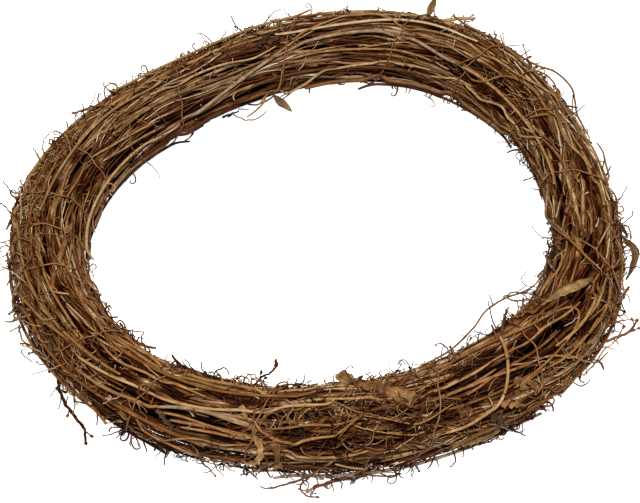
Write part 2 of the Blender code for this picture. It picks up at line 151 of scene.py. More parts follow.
def ring_coordinates(points):
    """Ring angle, distance and bundle angle of points, the reverse of places."""
    x = points[:, 0] - RING_CENTRE[0]
    y = points[:, 1] - RING_CENTRE[1]
    turn = np.arctan2(y, x)
    out = np.hypot(x, y) - ring_radius(turn)
    rise = points[:, 2] - centre_height(turn)
    around = np.arctan2(rise, out)
    return np.degrees(turn), np.hypot(out, rise) / girth(turn, around), np.degrees(around)


def seen_places(pixels, distance):
    """Where things seen at pixels of the photo lie: ring angle, lift in mm and bundle angle.

    Each line of sight ends where it comes within the distance, in mm, of the bundle's centre line,
    or where it passes nearest to it. The lift is over the loose canes.
    """
    eye, right, up, back = camera_frame()
    lens = PHOTO_WIDE * CAMERA_LENS / CAMERA_SENSOR
    knots = []
    for across, down in pixels:
        way = right * (across - PHOTO_WIDE / 2) + up * (PHOTO_HIGH / 2 - down) - back * lens
        line = eye + SIGHT_LINE * way / np.linalg.norm(way)
        angle, reach, bundle = ring_coordinates(line)
        reach = np.where(line[:, 2] > 0.0, reach, np.inf)
        met = reach <= distance * MM
        at = np.argmax(met) if met.any() else np.argmin(reach)
        angle, reach, bundle = angle[at], reach[at], bundle[at]
        lift = (reach - LOOSE_OUT) * swell_at(angle, bundle) / MM
        if knots:
            angle += 360.0 * round((knots[-1][0] - angle) / 360.0)
            bundle += 360.0 * round((knots[-1][2] - bundle) / 360.0)
        knots.append((angle, lift, bundle))
    return knots


def outward(angle, bundle):
    """Directions away from the bundle's centre line."""
    turn = np.radians(angle)
    around = np.radians(bundle)
    flat = np.cos(around)
    return np.stack((flat * np.cos(turn), flat * np.sin(turn), np.sin(around)), axis=-1)


def along_ring(angle):
    """The direction along the ring at a ring angle."""
    turn = math.radians(angle)
    return np.array((-math.sin(turn), math.cos(turn), 0.0))


def unit(vectors):
    """Vectors made one long."""
    size = np.linalg.norm(vectors, axis=-1, keepdims=True)
    return vectors / np.maximum(size, 1e-12)


def lengths_along(path):
    """How far along a path each of its points is."""
    steps = np.linalg.norm(np.diff(path, axis=0), axis=1)
    return np.concatenate(([0.0], np.cumsum(steps)))


def keep_above(points, height):
    """Lift the points that lie lower than a height up to it."""
    points[:, 2] = np.maximum(points[:, 2], height)


class Piece:
    """Gathers tubes and blades, and makes one object of them."""

    def __init__(self, name, slot, *replaced):
        self.name = name
        self.slot = slot
        self.replaced = replaced
        self.points = []
        self.faces = []
        self.uvs = []
        self.tints = []
        self.count = 0

    def add(self, points, faces, uvs, tint):
        """Add one shape: faces index into points, and uvs has a row for each face corner."""
        base = self.count
        self.points.append(points)
        self.tints.append(np.broadcast_to(np.asarray(tint, float), (len(points), 4)))
        self.faces.extend([tuple(i + base for i in face) for face in faces])
        self.uvs.append(uvs)
        self.count += len(points)

    def make(self):
        """Make the object, ride it on the frame and give it the material of its slot."""
        data = bpy.data.meshes.new(self.name)
        data.from_pydata(np.concatenate(self.points).tolist(), [], self.faces)
        layer = data.uv_layers.new(name="grain")
        layer.data.foreach_set("uv", np.concatenate(self.uvs).astype(np.float32).ravel())
        tint = data.color_attributes.new("tint", "FLOAT_COLOR", "POINT")
        tint.data.foreach_set("color", np.concatenate(self.tints).astype(np.float32).ravel())
        data.shade_smooth()
        thing = bpy.data.objects.new(self.name, data)
        data.materials.append(MATERIALS[self.slot])
        bpy.context.scene.collection.objects.link(thing)
        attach(thing, "root")
        if self.replaced:
            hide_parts(*self.replaced)
        return thing


def wander(rng, x, scale, amount):
    """A smooth random wave along x, both in mm."""
    total = np.zeros_like(x)
    for part, size in ((1.0, 1.0), (0.47, 0.6), (0.23, 0.35)):
        wave = scale * part * rng.uniform(0.8, 1.25)
        total = total + size * np.sin(2 * math.pi * (x / wave + rng.random()))
    return total * amount / 1.5


def stray(rng, path, x, wave, amount, fade=1.0):
    """Let a path wander in all three directions, x mm along it."""
    for k in range(3):
        path[:, k] += wander(rng, x, wave, amount) * fade


def sweep(path):
    """Directions along a path, and two directions across it that don't twist."""
    along = unit(np.gradient(path, axis=0))
    rows = along.tolist()
    x, y, z = rows[0]
    side = (y, -x, 0.0) if abs(z) < 0.9 else (0.0, z, -y)
    across = []
    for tx, ty, tz in rows:
        dot = side[0] * tx + side[1] * ty + side[2] * tz
        sx, sy, sz = side[0] - dot * tx, side[1] - dot * ty, side[2] - dot * tz
        size = math.sqrt(sx * sx + sy * sy + sz * sz) or 1.0
        side = (sx / size, sy / size, sz / size)
        across.append(side)
    across = np.array(across)
    return along, across, np.cross(along, across)


def tube(piece, path, radii, sides, tint, lobes=None):
    """A closed tube along a path. lobes gives its cross-section ribs: (count, height, twist)."""
    n = len(path)
    along, across, other = sweep(path)
    length = lengths_along(path)
    turn = 2 * math.pi * np.arange(sides) / sides
    shape = np.ones((n, sides))
    if lobes:
        count, height, twist = lobes
        shape += height * np.sin(count * turn[None, :] + twist * length[:, None])
    reach = np.asarray(radii)[:, None] * shape
    rows = path[:, None, :] + reach[..., None] * (
        np.cos(turn)[None, :, None] * across[:, None, :]
        + np.sin(turn)[None, :, None] * other[:, None, :])
    head = path[0] - along[0] * radii[0] * 0.4
    tail = path[-1] + along[-1] * radii[-1] * 0.4
    points = np.concatenate((rows.reshape(-1, 3), head[None], tail[None]))
    i = np.arange(n - 1)[:, None] * sides
    k = np.arange(sides)[None, :]
    m = (k + 1) % sides
    quads = np.stack((i + k, i + m, i + sides + m, i + sides + k), axis=-1).reshape(-1, 4)
    low, high = k / sides + 0 * i, (k + 1) / sides + 0 * i
    here, there = length[:-1, None] + 0 * k, length[1:, None] + 0 * k
    uvs = np.stack((low, here, high, here, high, there, low, there), axis=-1).reshape(-1, 2)
    faces = quads.tolist()
    caps = []
    last = (n - 1) * sides
    for j in range(sides):
        nxt = (j + 1) % sides
        faces.append((n * sides, nxt, j))
        faces.append((n * sides + 1, last + j, last + nxt))
        caps += [(0.5, 0.0), ((j + 1) / sides, 0.0), (j / sides, 0.0),
                 (0.5, length[-1]), (j / sides, length[-1]), ((j + 1) / sides, length[-1])]
    tint = np.asarray(tint, float)
    if tint.ndim == 2:
        tint = np.concatenate((np.repeat(tint, sides, axis=0), tint[:1], tint[-1:]))
    piece.add(points, faces, np.concatenate((uvs, np.array(caps))), tint)


def dense(knots, step):
    """A smooth curve through knots of ring angle, lift and bundle angle, as rows a step in mm apart."""
    knots = np.array(knots, float)
    rows = []
    last = len(knots) - 1
    for i in range(last):
        a, b = knots[max(i - 1, 0)], knots[i]
        c, d = knots[i + 1], knots[min(i + 2, last)]
        reach = abs(c[0] - b[0]) / DEGREES_PER_MM + abs(c[1] - b[1]) + 0.3 * abs(c[2] - b[2])
        count = max(2, int(reach / step))
        t = np.arange(count)[:, None] / count
        curve = 2 * b + (c - a) * t + (2 * a - 5 * b + 4 * c - d) * t ** 2
        rows.append(0.5 * (curve + (3 * b - a - 3 * c + d) * t ** 3))
    rows.append(knots[-1:])
    return np.concatenate(rows)


# Half the length of a knuckle, and the least room between two points of a vine, in mm
KNUCKLE = 1.7
POINT_ROOM = 0.45


def thin_out(path, spacing, marks):
    """Points of a fine path at a spacing in mm, with three more round each mark along it."""
    length = lengths_along(path) / MM
    count = max(3, int(round(length[-1] / spacing)) + 1)
    where = list(np.linspace(0.0, length[-1], count))
    for mark in marks:
        where += [mark - KNUCKLE, mark, mark + KNUCKLE]
    where = np.unique(np.round([w for w in where if 0 <= w <= length[-1]], 2))
    keep = np.concatenate(([True], np.diff(where) > POINT_ROOM))
    where = where[keep]
    where[-1] = length[-1]
    return np.stack([np.interp(where, length, path[:, k]) for k in range(3)], axis=-1), where


# How far above the floor the lowest bark stays
FLOOR_ROOM = 0.1 * MM

# How a vine's thickness varies: the wave of its unevenness in mm and how strong it is, how much a
# knuckle swells and how wide that is in mm, a tapered end's most length in mm, its share of the
# vine and how round it is, and how much the ribs of its bark twist
VINE_WAVE = 90.0
VINE_UNEVEN = 0.08
KNUCKLE_SWELL = (0.06, 0.28)
KNUCKLE_WIDE = 1.5
TIP_LONG = 14.0
TIP_SHARE = 0.3
TIP_ROUND = 0.6
RIB_TWIST = 60.0


def vine(piece, rng, path, radius, sides=7, spacing=3.6, tint=None, tips=(0.6, 0.6),
         knuckles=55.0, stubs=0.3, lobe=0.08, shade=None):
    """A vine along a fine path: knuckles with stubs, an uneven thickness and a ribbed bark."""
    total = float(np.linalg.norm(np.diff(path, axis=0), axis=1).sum()) / MM
    marks = []
    here = rng.uniform(0.2, 1.0) * knuckles
    while here < total - 3:
        marks.append(here)
        here += knuckles * rng.uniform(0.5, 1.5)
    points, where = thin_out(path, spacing, marks)
    radii = radius * (1 + wander(rng, where, VINE_WAVE, VINE_UNEVEN))
    for mark in marks:
        bulge = np.exp(-((where - mark) / KNUCKLE_WIDE) ** 2)
        radii = radii * (1 + rng.uniform(*KNUCKLE_SWELL) * bulge)
    reach = min(TIP_LONG, total * TIP_SHARE)
    for tip, away in zip(tips, (where, total - where)):
        radii = radii * (tip + (1 - tip) * np.clip(away / reach, 0.0, 1.0) ** TIP_ROUND)
    keep_above(points, radii + FLOOR_ROOM)
    if tint is None:
        tint = random_tint(rng)
    lobes = (rng.choice((1, 2, 2, 3)), lobe * rng.uniform(0.6, 1.4), rng.uniform(-RIB_TWIST, RIB_TWIST))
    tints = np.tile(np.asarray(tint, float), (len(points), 1))
    if shade is not None:
        tints[:, 1] *= np.interp(where, lengths_along(path) / MM, shade)
    tube(piece, points, radii, sides, tints, lobes if sides > 4 else None)
    if stubs:
        along = unit(np.gradient(points, axis=0))
        for mark in marks:
            if rng.random() < stubs:
                i = int(np.argmin(np.abs(where - mark)))
                stub(piece, rng, points[i], along[i], radii[i], tint)
    return points


# A stub's length range in mm, its most radius, and its height over the floor
STUB_LONG = (1.6, 5.0)
STUB_THICK = 0.7 * MM
STUB_ROOM = 0.4 * MM


def stub(piece, rng, root, along, radius, tint):
    """The short broken end of a side shoot at a knuckle."""
    side = unit(np.cross(along, np.array([rng.gauss(0, 1) for _ in range(3)])))
    lean = unit(side + along * rng.uniform(-0.4, 1.2))
    length = rng.uniform(*STUB_LONG) * MM
    path = np.array([root + side * radius * 0.3, root + lean * (radius + length * 0.5),
                     root + unit(lean + side * 0.5) * (radius + length)])
    keep_above(path, STUB_ROOM)
    thick = min(radius * 0.7, STUB_THICK) * rng.uniform(0.6, 1.0)
    tube(piece, path, np.array([thick, thick * 0.8, thick * 0.7]), 4, tint)


def random_tint(rng, low=0.0, high=1.0):
    """A vine's own place in its bark's range of colours, its brightness, age and seed."""
    return (rng.uniform(low, high), rng.uniform(0.65, 1.15), rng.random() ** 1.5, rng.random())


def curl(root, reach, side, length, turns, steps, squeeze=1.7):
    """The path of a shoot that curls up towards its tip."""
    drift = np.cross(reach, side) * 0.25
    t = np.arange(1, steps + 1) / steps
    heading = 2 * math.pi * turns * t ** squeeze
    stride = length / steps * (1.35 - 0.7 * t)
    moves = (reach[None] * np.cos(heading)[:, None] + side[None] * np.sin(heading)[:, None]
             + drift[None]) * stride[:, None]
    return np.concatenate((root[None], root[None] + np.cumsum(moves, axis=0)))


def tendril(piece, rng, root, reach, along, length, turns, radius, tint):
    """A thin curled shoot."""
    side = along * rng.choice((-1, 1)) + np.cross(reach, along) * rng.uniform(-0.9, 0.9)
    side = unit(side - reach * np.dot(side, reach))
    steps = max(8, int(length / MM / 0.9))
    path = curl(root, reach, side, length, turns, steps, rng.uniform(1.2, 2.4))
    x = np.arange(steps + 1) * length / MM / steps
    stray(rng, path, x, 9.0, 0.35 * MM, np.minimum(x / 4.0, 1.0))
    keep_above(path, radius + FLOOR_ROOM)
    t = np.arange(steps + 1) / steps
    tube(piece, path, radius * (1 - 0.3 * t), 4, tint)


def bud(piece, centre, direction, length, width, tint):
    """A small pointed bud."""
    path = np.array([centre + direction * length * t for t in (-0.5, -0.25, 0.0, 0.28, 0.5)])
    tube(piece, path, width * np.array([0.18, 0.42, 0.5, 0.34, 0.08]), 6, tint)


class Finish:
    """A material being made: its shader, and the nodes that feed it."""

    def __init__(self, name, roughness, specular):
        self.material = bpy.data.materials.new(name)
        self.material.use_nodes = True
        self.tree = self.material.node_tree
        self.shader = self.tree.nodes["Principled BSDF"]
        self.shader.inputs["Roughness"].default_value = roughness
        self.shader.inputs["Specular IOR Level"].default_value = specular
        self.shader.inputs["Metallic"].default_value = 0.0

    def feed(self, socket, value):
        """Link an output to a socket, or set the socket to a plain value."""
        if isinstance(value, bpy.types.NodeSocket):
            self.tree.links.new(value, socket)
        else:
            socket.default_value = value

    def node(self, kind, **inputs):
        """Add a node and feed the inputs that are named."""
        thing = self.tree.nodes.new(kind)
        for key, value in inputs.items():
            self.feed(thing.inputs[key], value)
        return thing

    def maths(self, operation, a, b=0.0, clamp=False):
        """A number worked out of two."""
        thing = self.node("ShaderNodeMath")
        thing.operation = operation
        thing.use_clamp = clamp
        self.feed(thing.inputs[0], a)
        self.feed(thing.inputs[1], b)
        return thing.outputs[0]

    def times(self, a, b, clamp=False):
        """One number times another."""
        return self.maths("MULTIPLY", a, b, clamp)

    def plus(self, a, b, clamp=False):
        """One number and another."""
        return self.maths("ADD", a, b, clamp)

    def over(self, value, middle, gain, clamp=False):
        """How far a number is over a middle, times a gain."""
        return self.times(self.maths("SUBTRACT", value, middle), gain, clamp)

    def place(self, x, y, z):
        """Three numbers as a place in a noise."""
        return self.node("ShaderNodeCombineXYZ", X=x, Y=y, Z=z).outputs[0]

    def noise(self, vector, scale, detail, rough):
        """A noise's value at a place."""
        return self.node("ShaderNodeTexNoise", Vector=vector, Scale=scale, Detail=detail,
                         Roughness=rough).outputs["Fac"]

    def patches(self, scale, detail, rough):
        """A noise's value over the whole object."""
        return self.noise(self.node("ShaderNodeTexCoord").outputs["Object"], scale, detail, rough)

    def ramp(self, factor, stops):
        """A colour out of stops that are spread evenly."""
        thing = self.node("ShaderNodeValToRGB", Fac=factor)
        band = thing.color_ramp
        while len(band.elements) < len(stops):
            band.elements.new(0.5)
        for i, (element, stop) in enumerate(zip(band.elements, stops)):
            element.position = i / (len(stops) - 1)
            element.color = tuple(stop) + (1.0,)
        return thing.outputs["Color"]

    def mix(self, factor, a, b, blend="MIX"):
        """A colour mixed of two."""
        thing = self.node("ShaderNodeMix")
        thing.data_type = "RGBA"
        thing.blend_type = blend
        for name, value in (("Factor_Float", factor), ("A_Color", a), ("B_Color", b)):
            self.feed(next(s for s in thing.inputs if s.identifier == name), value)
        return next(s for s in thing.outputs if s.identifier == "Result_Color")

    def shaded(self, colour, shade, green, blue):
        """A colour times a shade, which works on its green and blue by powers of their own."""
        warm = self.node("ShaderNodeCombineColor", Red=shade, Green=self.maths("POWER", shade, green),
                         Blue=self.maths("POWER", shade, blue))
        return self.mix(1.0, colour, warm.outputs[0], "MULTIPLY")

    def tint(self):
        """Each shape's hue, brightness, age and seed, and the two directions of its grain."""
        tint = self.node("ShaderNodeAttribute")
        tint.attribute_name = "tint"
        parts = self.node("ShaderNodeSeparateColor", Color=tint.outputs["Color"])
        grain = self.node("ShaderNodeUVMap")
        grain.uv_map = "grain"
        uv = self.node("ShaderNodeSeparateXYZ", Vector=grain.outputs["UV"])
        return (*parts.outputs, tint.outputs["Alpha"], uv.outputs["X"], uv.outputs["Y"])

    def finish(self, colour, height, strength, depth):
        """Feed the shader its colour and its bumps, and give the material."""
        self.feed(self.shader.inputs["Base Color"], colour)
        bump = self.node("ShaderNodeBump", Height=height, Strength=strength, Distance=depth)
        self.feed(self.shader.inputs["Normal"], bump.outputs["Normal"])
        return self.material


# Colours of each finish from its darkest to its lightest
BARKS = {
    "vine_dark": ((0.012, 0.003, 0.001), (0.030, 0.009, 0.0025), (0.062, 0.025, 0.010)),
    "vine_brown": ((0.040, 0.013, 0.0035), (0.089, 0.041, 0.0155), (0.164, 0.118, 0.076)),
    "vine_tan": ((0.076, 0.034, 0.012), (0.148, 0.093, 0.045), (0.238, 0.200, 0.150)),
    "vine_grey": ((0.046, 0.026, 0.013), (0.105, 0.074, 0.049), (0.205, 0.173, 0.148)),
}
GREY_WORN = (0.20, 0.14, 0.09, 1.0)
RUST_TONES = ((0.030, 0.011, 0.004), (0.078, 0.033, 0.013), (0.132, 0.064, 0.029))
LEAF_TONES = ((0.055, 0.033, 0.014), (0.14, 0.095, 0.045), (0.28, 0.21, 0.115))
DRY_BARK_TONES = ((0.034, 0.016, 0.006), (0.105, 0.057, 0.022), (0.22, 0.138, 0.068))

# Scale, detail and roughness of each noise
BARK_FIBRE = (2.6, 5.0, 0.75)
BARK_RINGS = (1.0, 3.0, 0.6)
BARK_BLOTCH = (160.0, 3.0, 0.65)
BARK_SPECK = (900.0, 2.0, 0.6)
RUST_PATCH = (300.0, 4.0, 0.65)
DRY_FIBRE = (1.0, 4.0, 0.65)
DRY_BLOTCH = (220.0, 4.0, 0.6)
FLOOR_CLOUD = (3.0, 3.0, 0.6)

# Roughness and gloss of each finish, and the strength and depth of its bumps
BARK_SHEEN = (0.5, 0.12)
RUST_SHEEN = (0.55, 0.3)
DRY_GLOSS = 0.25
FLOOR_SHEEN = (0.9, 0.1)
BARK_BUMP = (0.7, 0.3 * MM)
RUST_BUMP = (0.4, 0.1 * MM)
DRY_BUMP = (0.5, 0.2 * MM)

# How closely fibres follow each other round a vine, how closely fibres and rings do so along a
# metre of it, and how far apart the patterns of two seeds lie
FIBRES_ROUND = 1.6
FIBRES_ALONG = 150.0
RINGS_ALONG = 120.0
DRY_ALONG = 60.0
SEED_STEP = 40.0


def bark(name, stops):
    """Bark with lengthwise fibres, blotches, paler worn patches and its own tint on each vine."""
    made = Finish(name, *BARK_SHEEN)
    hue, bright, age, seed, u, v = made.tint()
    shift = made.times(seed, SEED_STEP)
    turn = made.times(u, 2 * math.pi)
    fibre = made.noise(made.place(made.times(made.maths("COSINE", turn), FIBRES_ROUND),
                                  made.times(made.maths("SINE", turn), FIBRES_ROUND),
                                  made.plus(made.times(v, FIBRES_ALONG), shift)), *BARK_FIBRE)
    rings = made.noise(made.place(0.0, 0.0, made.plus(made.times(v, RINGS_ALONG), shift)), *BARK_RINGS)
    blotch = made.patches(*BARK_BLOTCH)
    speck = made.patches(*BARK_SPECK)
    pick = made.plus(hue, made.over(fibre, 0.5, 1.5))
    colour = made.ramp(made.plus(pick, made.over(rings, 0.5, 1.0), True), stops)
    worn = made.times(made.over(blotch, 0.52, 6.0, True), age, True)
    colour = made.mix(made.times(worn, 0.6), colour, GREY_WORN)
    # Blotches and specks give the bark's own tone; the tint's brightness adds the painted shade, and the
    # powers in shaded() paint the darker parts redder, as the colour of shadow
    shade = made.plus(0.35, made.times(blotch, 0.65))
    shade = made.times(made.plus(shade, made.times(speck, 0.55)), bright)
    height = made.plus(fibre, made.times(speck, 0.5))
    return made.finish(made.shaded(colour, shade, 1.5, 2.2), height, *BARK_BUMP)


def rust(name):
    """Thin rust-brown wire."""
    made = Finish(name, *RUST_SHEEN)
    patch = made.patches(*RUST_PATCH)
    return made.finish(made.ramp(patch, RUST_TONES), patch, *RUST_BUMP)


def dry(name, stops, fibres_across, rough):
    """Dry leaf or peeled bark: fibres along it, blotches and the tint of each piece."""
    made = Finish(name, rough, DRY_GLOSS)
    hue, bright, _, seed, u, v = made.tint()
    fibre = made.noise(made.place(made.times(u, fibres_across), made.times(v, DRY_ALONG), seed), *DRY_FIBRE)
    blotch = made.patches(*DRY_BLOTCH)
    pick = made.plus(hue, made.over(fibre, 0.5, 2.0))
    colour = made.ramp(made.plus(pick, made.over(blotch, 0.5, 1.4), True), stops)
    shade = made.times(bright, made.plus(0.65, made.times(blotch, 0.6)))
    return made.finish(made.shaded(colour, shade, 1.15, 1.4), fibre, *DRY_BUMP)


MATERIALS = {name: bark(name + "_finish", stops) for name, stops in BARKS.items()}
MATERIALS["binding_wire"] = rust("binding_wire_finish")
MATERIALS["dry_leaf"] = dry("dry_leaf_finish", LEAF_TONES, 14.0, 0.6)
MATERIALS["dry_bark"] = dry("dry_bark_finish", DRY_BARK_TONES, 26.0, 0.75)


# The wound vines, finer than the solids but on the same courses: name, distance, cane, turns,
# lay, phase, warp, wobble, cuts, slot, sides of each tube, and spacing of its points in mm
LAYERS = (
    ("heart_vine", HEART_OUT, HEART_CANE, 3, 1, 20, 0.10, 0.0, (-0.5, 107.5), "vine_dark", 6, 7.0),
    ("inner_vine", INNER_OUT, INNER_CANE, 7, -3, 75, 0.22, 0.035, (4.5, 130.5, 256.5),
     "vine_dark", 6, 5.0),
    ("middle_vine", MIDDLE_OUT, MIDDLE_CANE, 10, 7, 10, 0.30, 0.050,
     (16.5, 138.5, 257.5, 376.5), "vine_brown", 7, 4.0),
    ("outer_vine", OUTER_OUT, OUTER_CANE, 13, -9, 40, 0.34, 0.060,
     (1.5, 35.5, 68.5, 102.5, 135.5, 169.5, 202.5, 236.5, 269.5, 303.5, 336.5, 370.5, 403.5,
      437.5, 469.5), "vine_tan", 8, 3.2),
)


def layer_bundle_angle(section, turns, lay, phase, warp, wobble):
    """Bundle angle of a layer's winding at a section, counted along the whole winding."""
    rounds = section / 36.0
    turn = 2 * math.pi * rounds
    straight = math.radians(phase) + turn * lay / turns
    sway = 1.1 * np.sin(2 * turn + phase) + 0.9 * np.sin(3 * turn + 2.0 * phase)
    crowd = 0.45 * np.sin(straight + turn + phase)
    crowd = crowd + 0.25 * np.sin(2 * straight - turn + 1.7 * phase)
    shake = np.sin(2 * math.pi * 3.37 * rounds + 1.0) + 0.6 * np.sin(2 * math.pi * 5.83 * rounds + 2.5)
    return np.degrees(straight + warp * (sway + crowd) + wobble * shake)


# Dark hollows between the vines, read in the photo: the pixels of both ends, and half the
# width in mm
HOLLOW_SPOTS = (
    ((162, 130), (135, 143), 2.4), ((189, 119), (170, 124), 1.3), ((127, 150), (107, 172), 2.1),
    ((97, 165), (93, 184), 1.8), ((87, 182), (78, 198), 1.4), ((79, 152), (74, 161), 1),
    ((58, 182), (53, 190), 1.2), ((79, 225), (77, 234), 1), ((53, 220), (53, 228), 1),
    ((47, 258), (45, 272), 2), ((59, 278), (61, 290), 1.2), ((58, 301), (64, 311), 1.6),
    ((33, 286), (36, 303), 1.5), ((33, 318), (39, 328), 2), ((56, 321), (65, 334), 1.2),
    ((78, 323), (85, 332), 1.4), ((97, 323), (107, 336), 1.3), ((87, 343), (97, 353), 2.2),
    ((107, 360), (136, 376), 2.2), ((126, 385), (141, 392), 1.3), ((145, 397), (161, 402), 1.2),
    ((161, 390), (186, 397), 1.7), ((161, 409), (178, 416), 1.6), ((92, 393), (103, 397), 1.2),
    ((190, 420), (210, 424), 1.8), ((231, 403), (268, 403), 1), ((240, 454), (245, 462), 1.6),
    ((218, 393), (225, 396), 1.2), ((213, 437), (233, 440), 1.2), ((277, 434), (299, 439), 1.3),
    ((321, 421), (331, 422), 1.1), ((293, 430), (307, 434), 1.3), ((329, 441), (341, 448), 2.4),
    ((307, 444), (323, 449), 1.3), ((289, 449), (302, 452), 1.2), ((348, 432), (356, 438), 1.4),
    ((368, 409), (378, 412), 1.6), ((357, 391), (368, 391), 0.9), ((391, 424), (408, 427), 1.2),
    ((458, 373), (499, 351), 1.8), ((436, 393), (473, 383), 1.7), ((480, 373), (503, 366), 1.4),
    ((513, 363), (529, 353), 2), ((516, 348), (528, 340), 1.7), ((539, 340), (567, 317), 2.9),
    ((524, 315), (554, 305), 1.6), ((582, 333), (594, 323), 2), ((473, 403), (486, 396), 1.4),
    ((435, 419), (450, 416), 1.6), ((380, 395), (397, 400), 1.2), ((496, 423), (509, 419), 1.2),
    ((528, 373), (539, 370), 1.4), ((578, 157), (587, 172), 1.2), ((588, 174), (593, 190), 1.4),
    ((557, 184), (564, 195), 1.7), ((600, 208), (603, 219), 1.1), ((620, 213), (623, 227), 1.5),
    ((592, 242), (588, 252), 1.6), ((598, 255), (600, 266), 1.6), ((576, 261), (571, 278), 1.6),
    ((555, 305), (576, 295), 2.2), ((582, 289), (578, 303), 2.4), ((547, 161), (557, 169), 1.5),
    ((341, 42), (381, 37), 1.9), ((339, 56), (379, 56), 1.5), ((323, 76), (374, 74), 1),
    ((180, 123), (212, 115), 1.8), ((478, 86), (501, 100), 2.2), ((383, 56), (408, 58), 1.5),
    ((383, 69), (408, 70), 1.2), ((459, 74), (475, 83), 1.5), ((506, 108), (520, 117), 1.4),
    ((519, 122), (529, 133), 1.6), ((536, 121), (548, 133), 1.6), ((546, 149), (558, 160), 1.8),
    ((574, 154), (583, 176), 1.6), ((482, 63), (501, 69), 1.1), ((484, 103), (503, 111), 1.4),
    ((411, 37), (422, 42), 1.4),
)
# How far out the hollows are seen and how soft their edges are, in mm, and how deep they are; mm
# round the bundle for a degree of the bundle angle
HOLLOW_OUT = 15.2
HOLLOW_EDGE = 1.4
HOLLOW_DEPTH = 1.5 * MM
BUNDLE_MM = 0.31
HOLLOWS = [(seen_places((head, tail), HOLLOW_OUT), half_width)
           for head, tail, half_width in HOLLOW_SPOTS]


# In a hollow the sheaves and creepers lie deeper, and the bark of vines there gets a painted shade
def hollow(angle, bundle):
    """How far inside a hollow a place is, from 0 to 1."""
    inside = np.zeros(np.shape(angle))
    for ((ring_a, _, bundle_a), (ring_b, _, bundle_b)), half_width in HOLLOWS:
        end = np.array(((ring_b - ring_a) / DEGREES_PER_MM, (bundle_b - bundle_a) * BUNDLE_MM))
        x = turn_between(angle, ring_a) / DEGREES_PER_MM
        y = turn_between(bundle, bundle_a) * BUNDLE_MM
        along = np.clip((x * end[0] + y * end[1]) / (end @ end), 0.0, 1.0)
        away = np.hypot(x - along * end[0], y - along * end[1])
        inside = np.maximum(inside, np.clip(1.0 - (away - half_width) / HOLLOW_EDGE, 0.0, 1.0))
    return inside


# Painted shade on the bark: how bright the deepest bark is painted on the near side, and how much
# lighter on the far side; the depth in mm from which it brightens, over how much, and how it does so;
# and how much a hollow darkens it on the near side, and how much less on the far side
PAINTED_SHADE_NEAR = 0.16
PAINTED_SHADE_FAR_LIFT = 0.26
PAINTED_SHADE_DEPTH = 13.5
PAINTED_SHADE_RANGE = 1.9
PAINTED_SHADE_CURVE = 1.3
HOLLOW_PAINTED_SHADE = 0.6
HOLLOW_PAINTED_SHADE_FAR_LESS = 0.3


def depth_shade(angle, reach, bundle):
    """Painted shade for a vine's bark: darker with depth and in hollows, less so on the far side."""
    depth = reach / swell_at(angle, bundle) / MM
    far = 0.5 + 0.5 * np.sin(np.radians(angle))
    deepest_shade = PAINTED_SHADE_NEAR + PAINTED_SHADE_FAR_LIFT * far
    bright = deepest_shade + (1 - deepest_shade) * np.clip((depth - PAINTED_SHADE_DEPTH) / PAINTED_SHADE_RANGE, 0.0, 1.0) ** PAINTED_SHADE_CURVE
    return bright * (1 - (HOLLOW_PAINTED_SHADE - HOLLOW_PAINTED_SHADE_FAR_LESS * far) * hollow(angle, bundle))


# How slim the wound vines are drawn, and how far over its own place each one's shade is taken
WOUND_SLIM = 0.94
SHADE_LIFT = 0.7 * MM


def wind_layers():
    """The heart, inner, middle and outer vines, each replacing its solid."""
    for name, distance, cane, turns, lay, phase, warp, wobble, cuts, slot, sides, spacing in LAYERS:
        for number, (start, stop) in enumerate(zip(cuts, cuts[1:]), 1):
            rng = random.Random(name + str(number))
            section = np.arange(start + 0.06, stop - 0.05, 0.05)
            bundle = layer_bundle_angle(section, turns, lay, phase, warp, wobble)
            x = section * SECTION / DEGREES_PER_MM
            sway = wander(rng, x, 75.0, 1.8)
            lift = wander(rng, x, 50.0, 0.3 * MM)
            path = places(section * SECTION, distance, bundle + sway, lift)
            piece = Piece(name + "_" + str(number) + "_bark", slot, name + "_" + str(number))
            size = cane / 2 * WOUND_SLIM
            if name == "outer_vine":
                size *= rng.uniform(0.6, 0.9)
            # Painted shade: the bark is painted darker the deeper each vine lies and in the hollows
            reach = distance * swell_at(section * SECTION, bundle) + lift + SHADE_LIFT
            shade = depth_shade(section * SECTION, reach, bundle)
            vine(piece, rng, path, size, sides, spacing, shade=shade)
            piece.make()


WIRE_CROSSINGS = (189.0, 212.0, 231.5, 255.0, 288.0, 307.0, 335.0, 358.5, 379.5, 403.0, 422.5,
                  450.0, 480.5, 513.0, 527.5, 537.0)
WIRE_STEEP = 0.18
WIRE_LEAD = 20.0


def wire_angle(bundle_turns):
    """Ring angle that the wire has reached after so many times round the bundle."""
    wrap = math.floor(bundle_turns)
    part = bundle_turns - wrap
    last = len(WIRE_CROSSINGS) - 1
    here = WIRE_CROSSINGS[min(max(wrap, 0), last)]
    after = WIRE_CROSSINGS[wrap + 1] - here if 0 <= wrap < last else WIRE_LEAD
    if wrap < 0:
        here -= WIRE_LEAD
    if part < 0.25:
        return here + WIRE_STEEP * after * part / 0.25
    if part > 0.75:
        return here + after * (1 - WIRE_STEEP * (1 - part) / 0.25)
    return here + after * (WIRE_STEEP + (1 - 2 * WIRE_STEEP) * (part - 0.25) / 0.5)


WIRE_SPARE = 0.35
WIRE_RISE = 0.4 * MM
WIRE_WRAP_MM = 110.0
WIRE_WRAPS = len(WIRE_CROSSINGS) - 1
WIRE_WRAP_POINTS = 72
WIRE_POINTS = int((WIRE_WRAPS + 2 * WIRE_SPARE) * WIRE_WRAP_POINTS) + 1
WIRE_TURNS = np.linspace(-WIRE_SPARE, WIRE_WRAPS + WIRE_SPARE, WIRE_POINTS)
WIRE_ANGLES = np.array([wire_angle(t) for t in WIRE_TURNS])


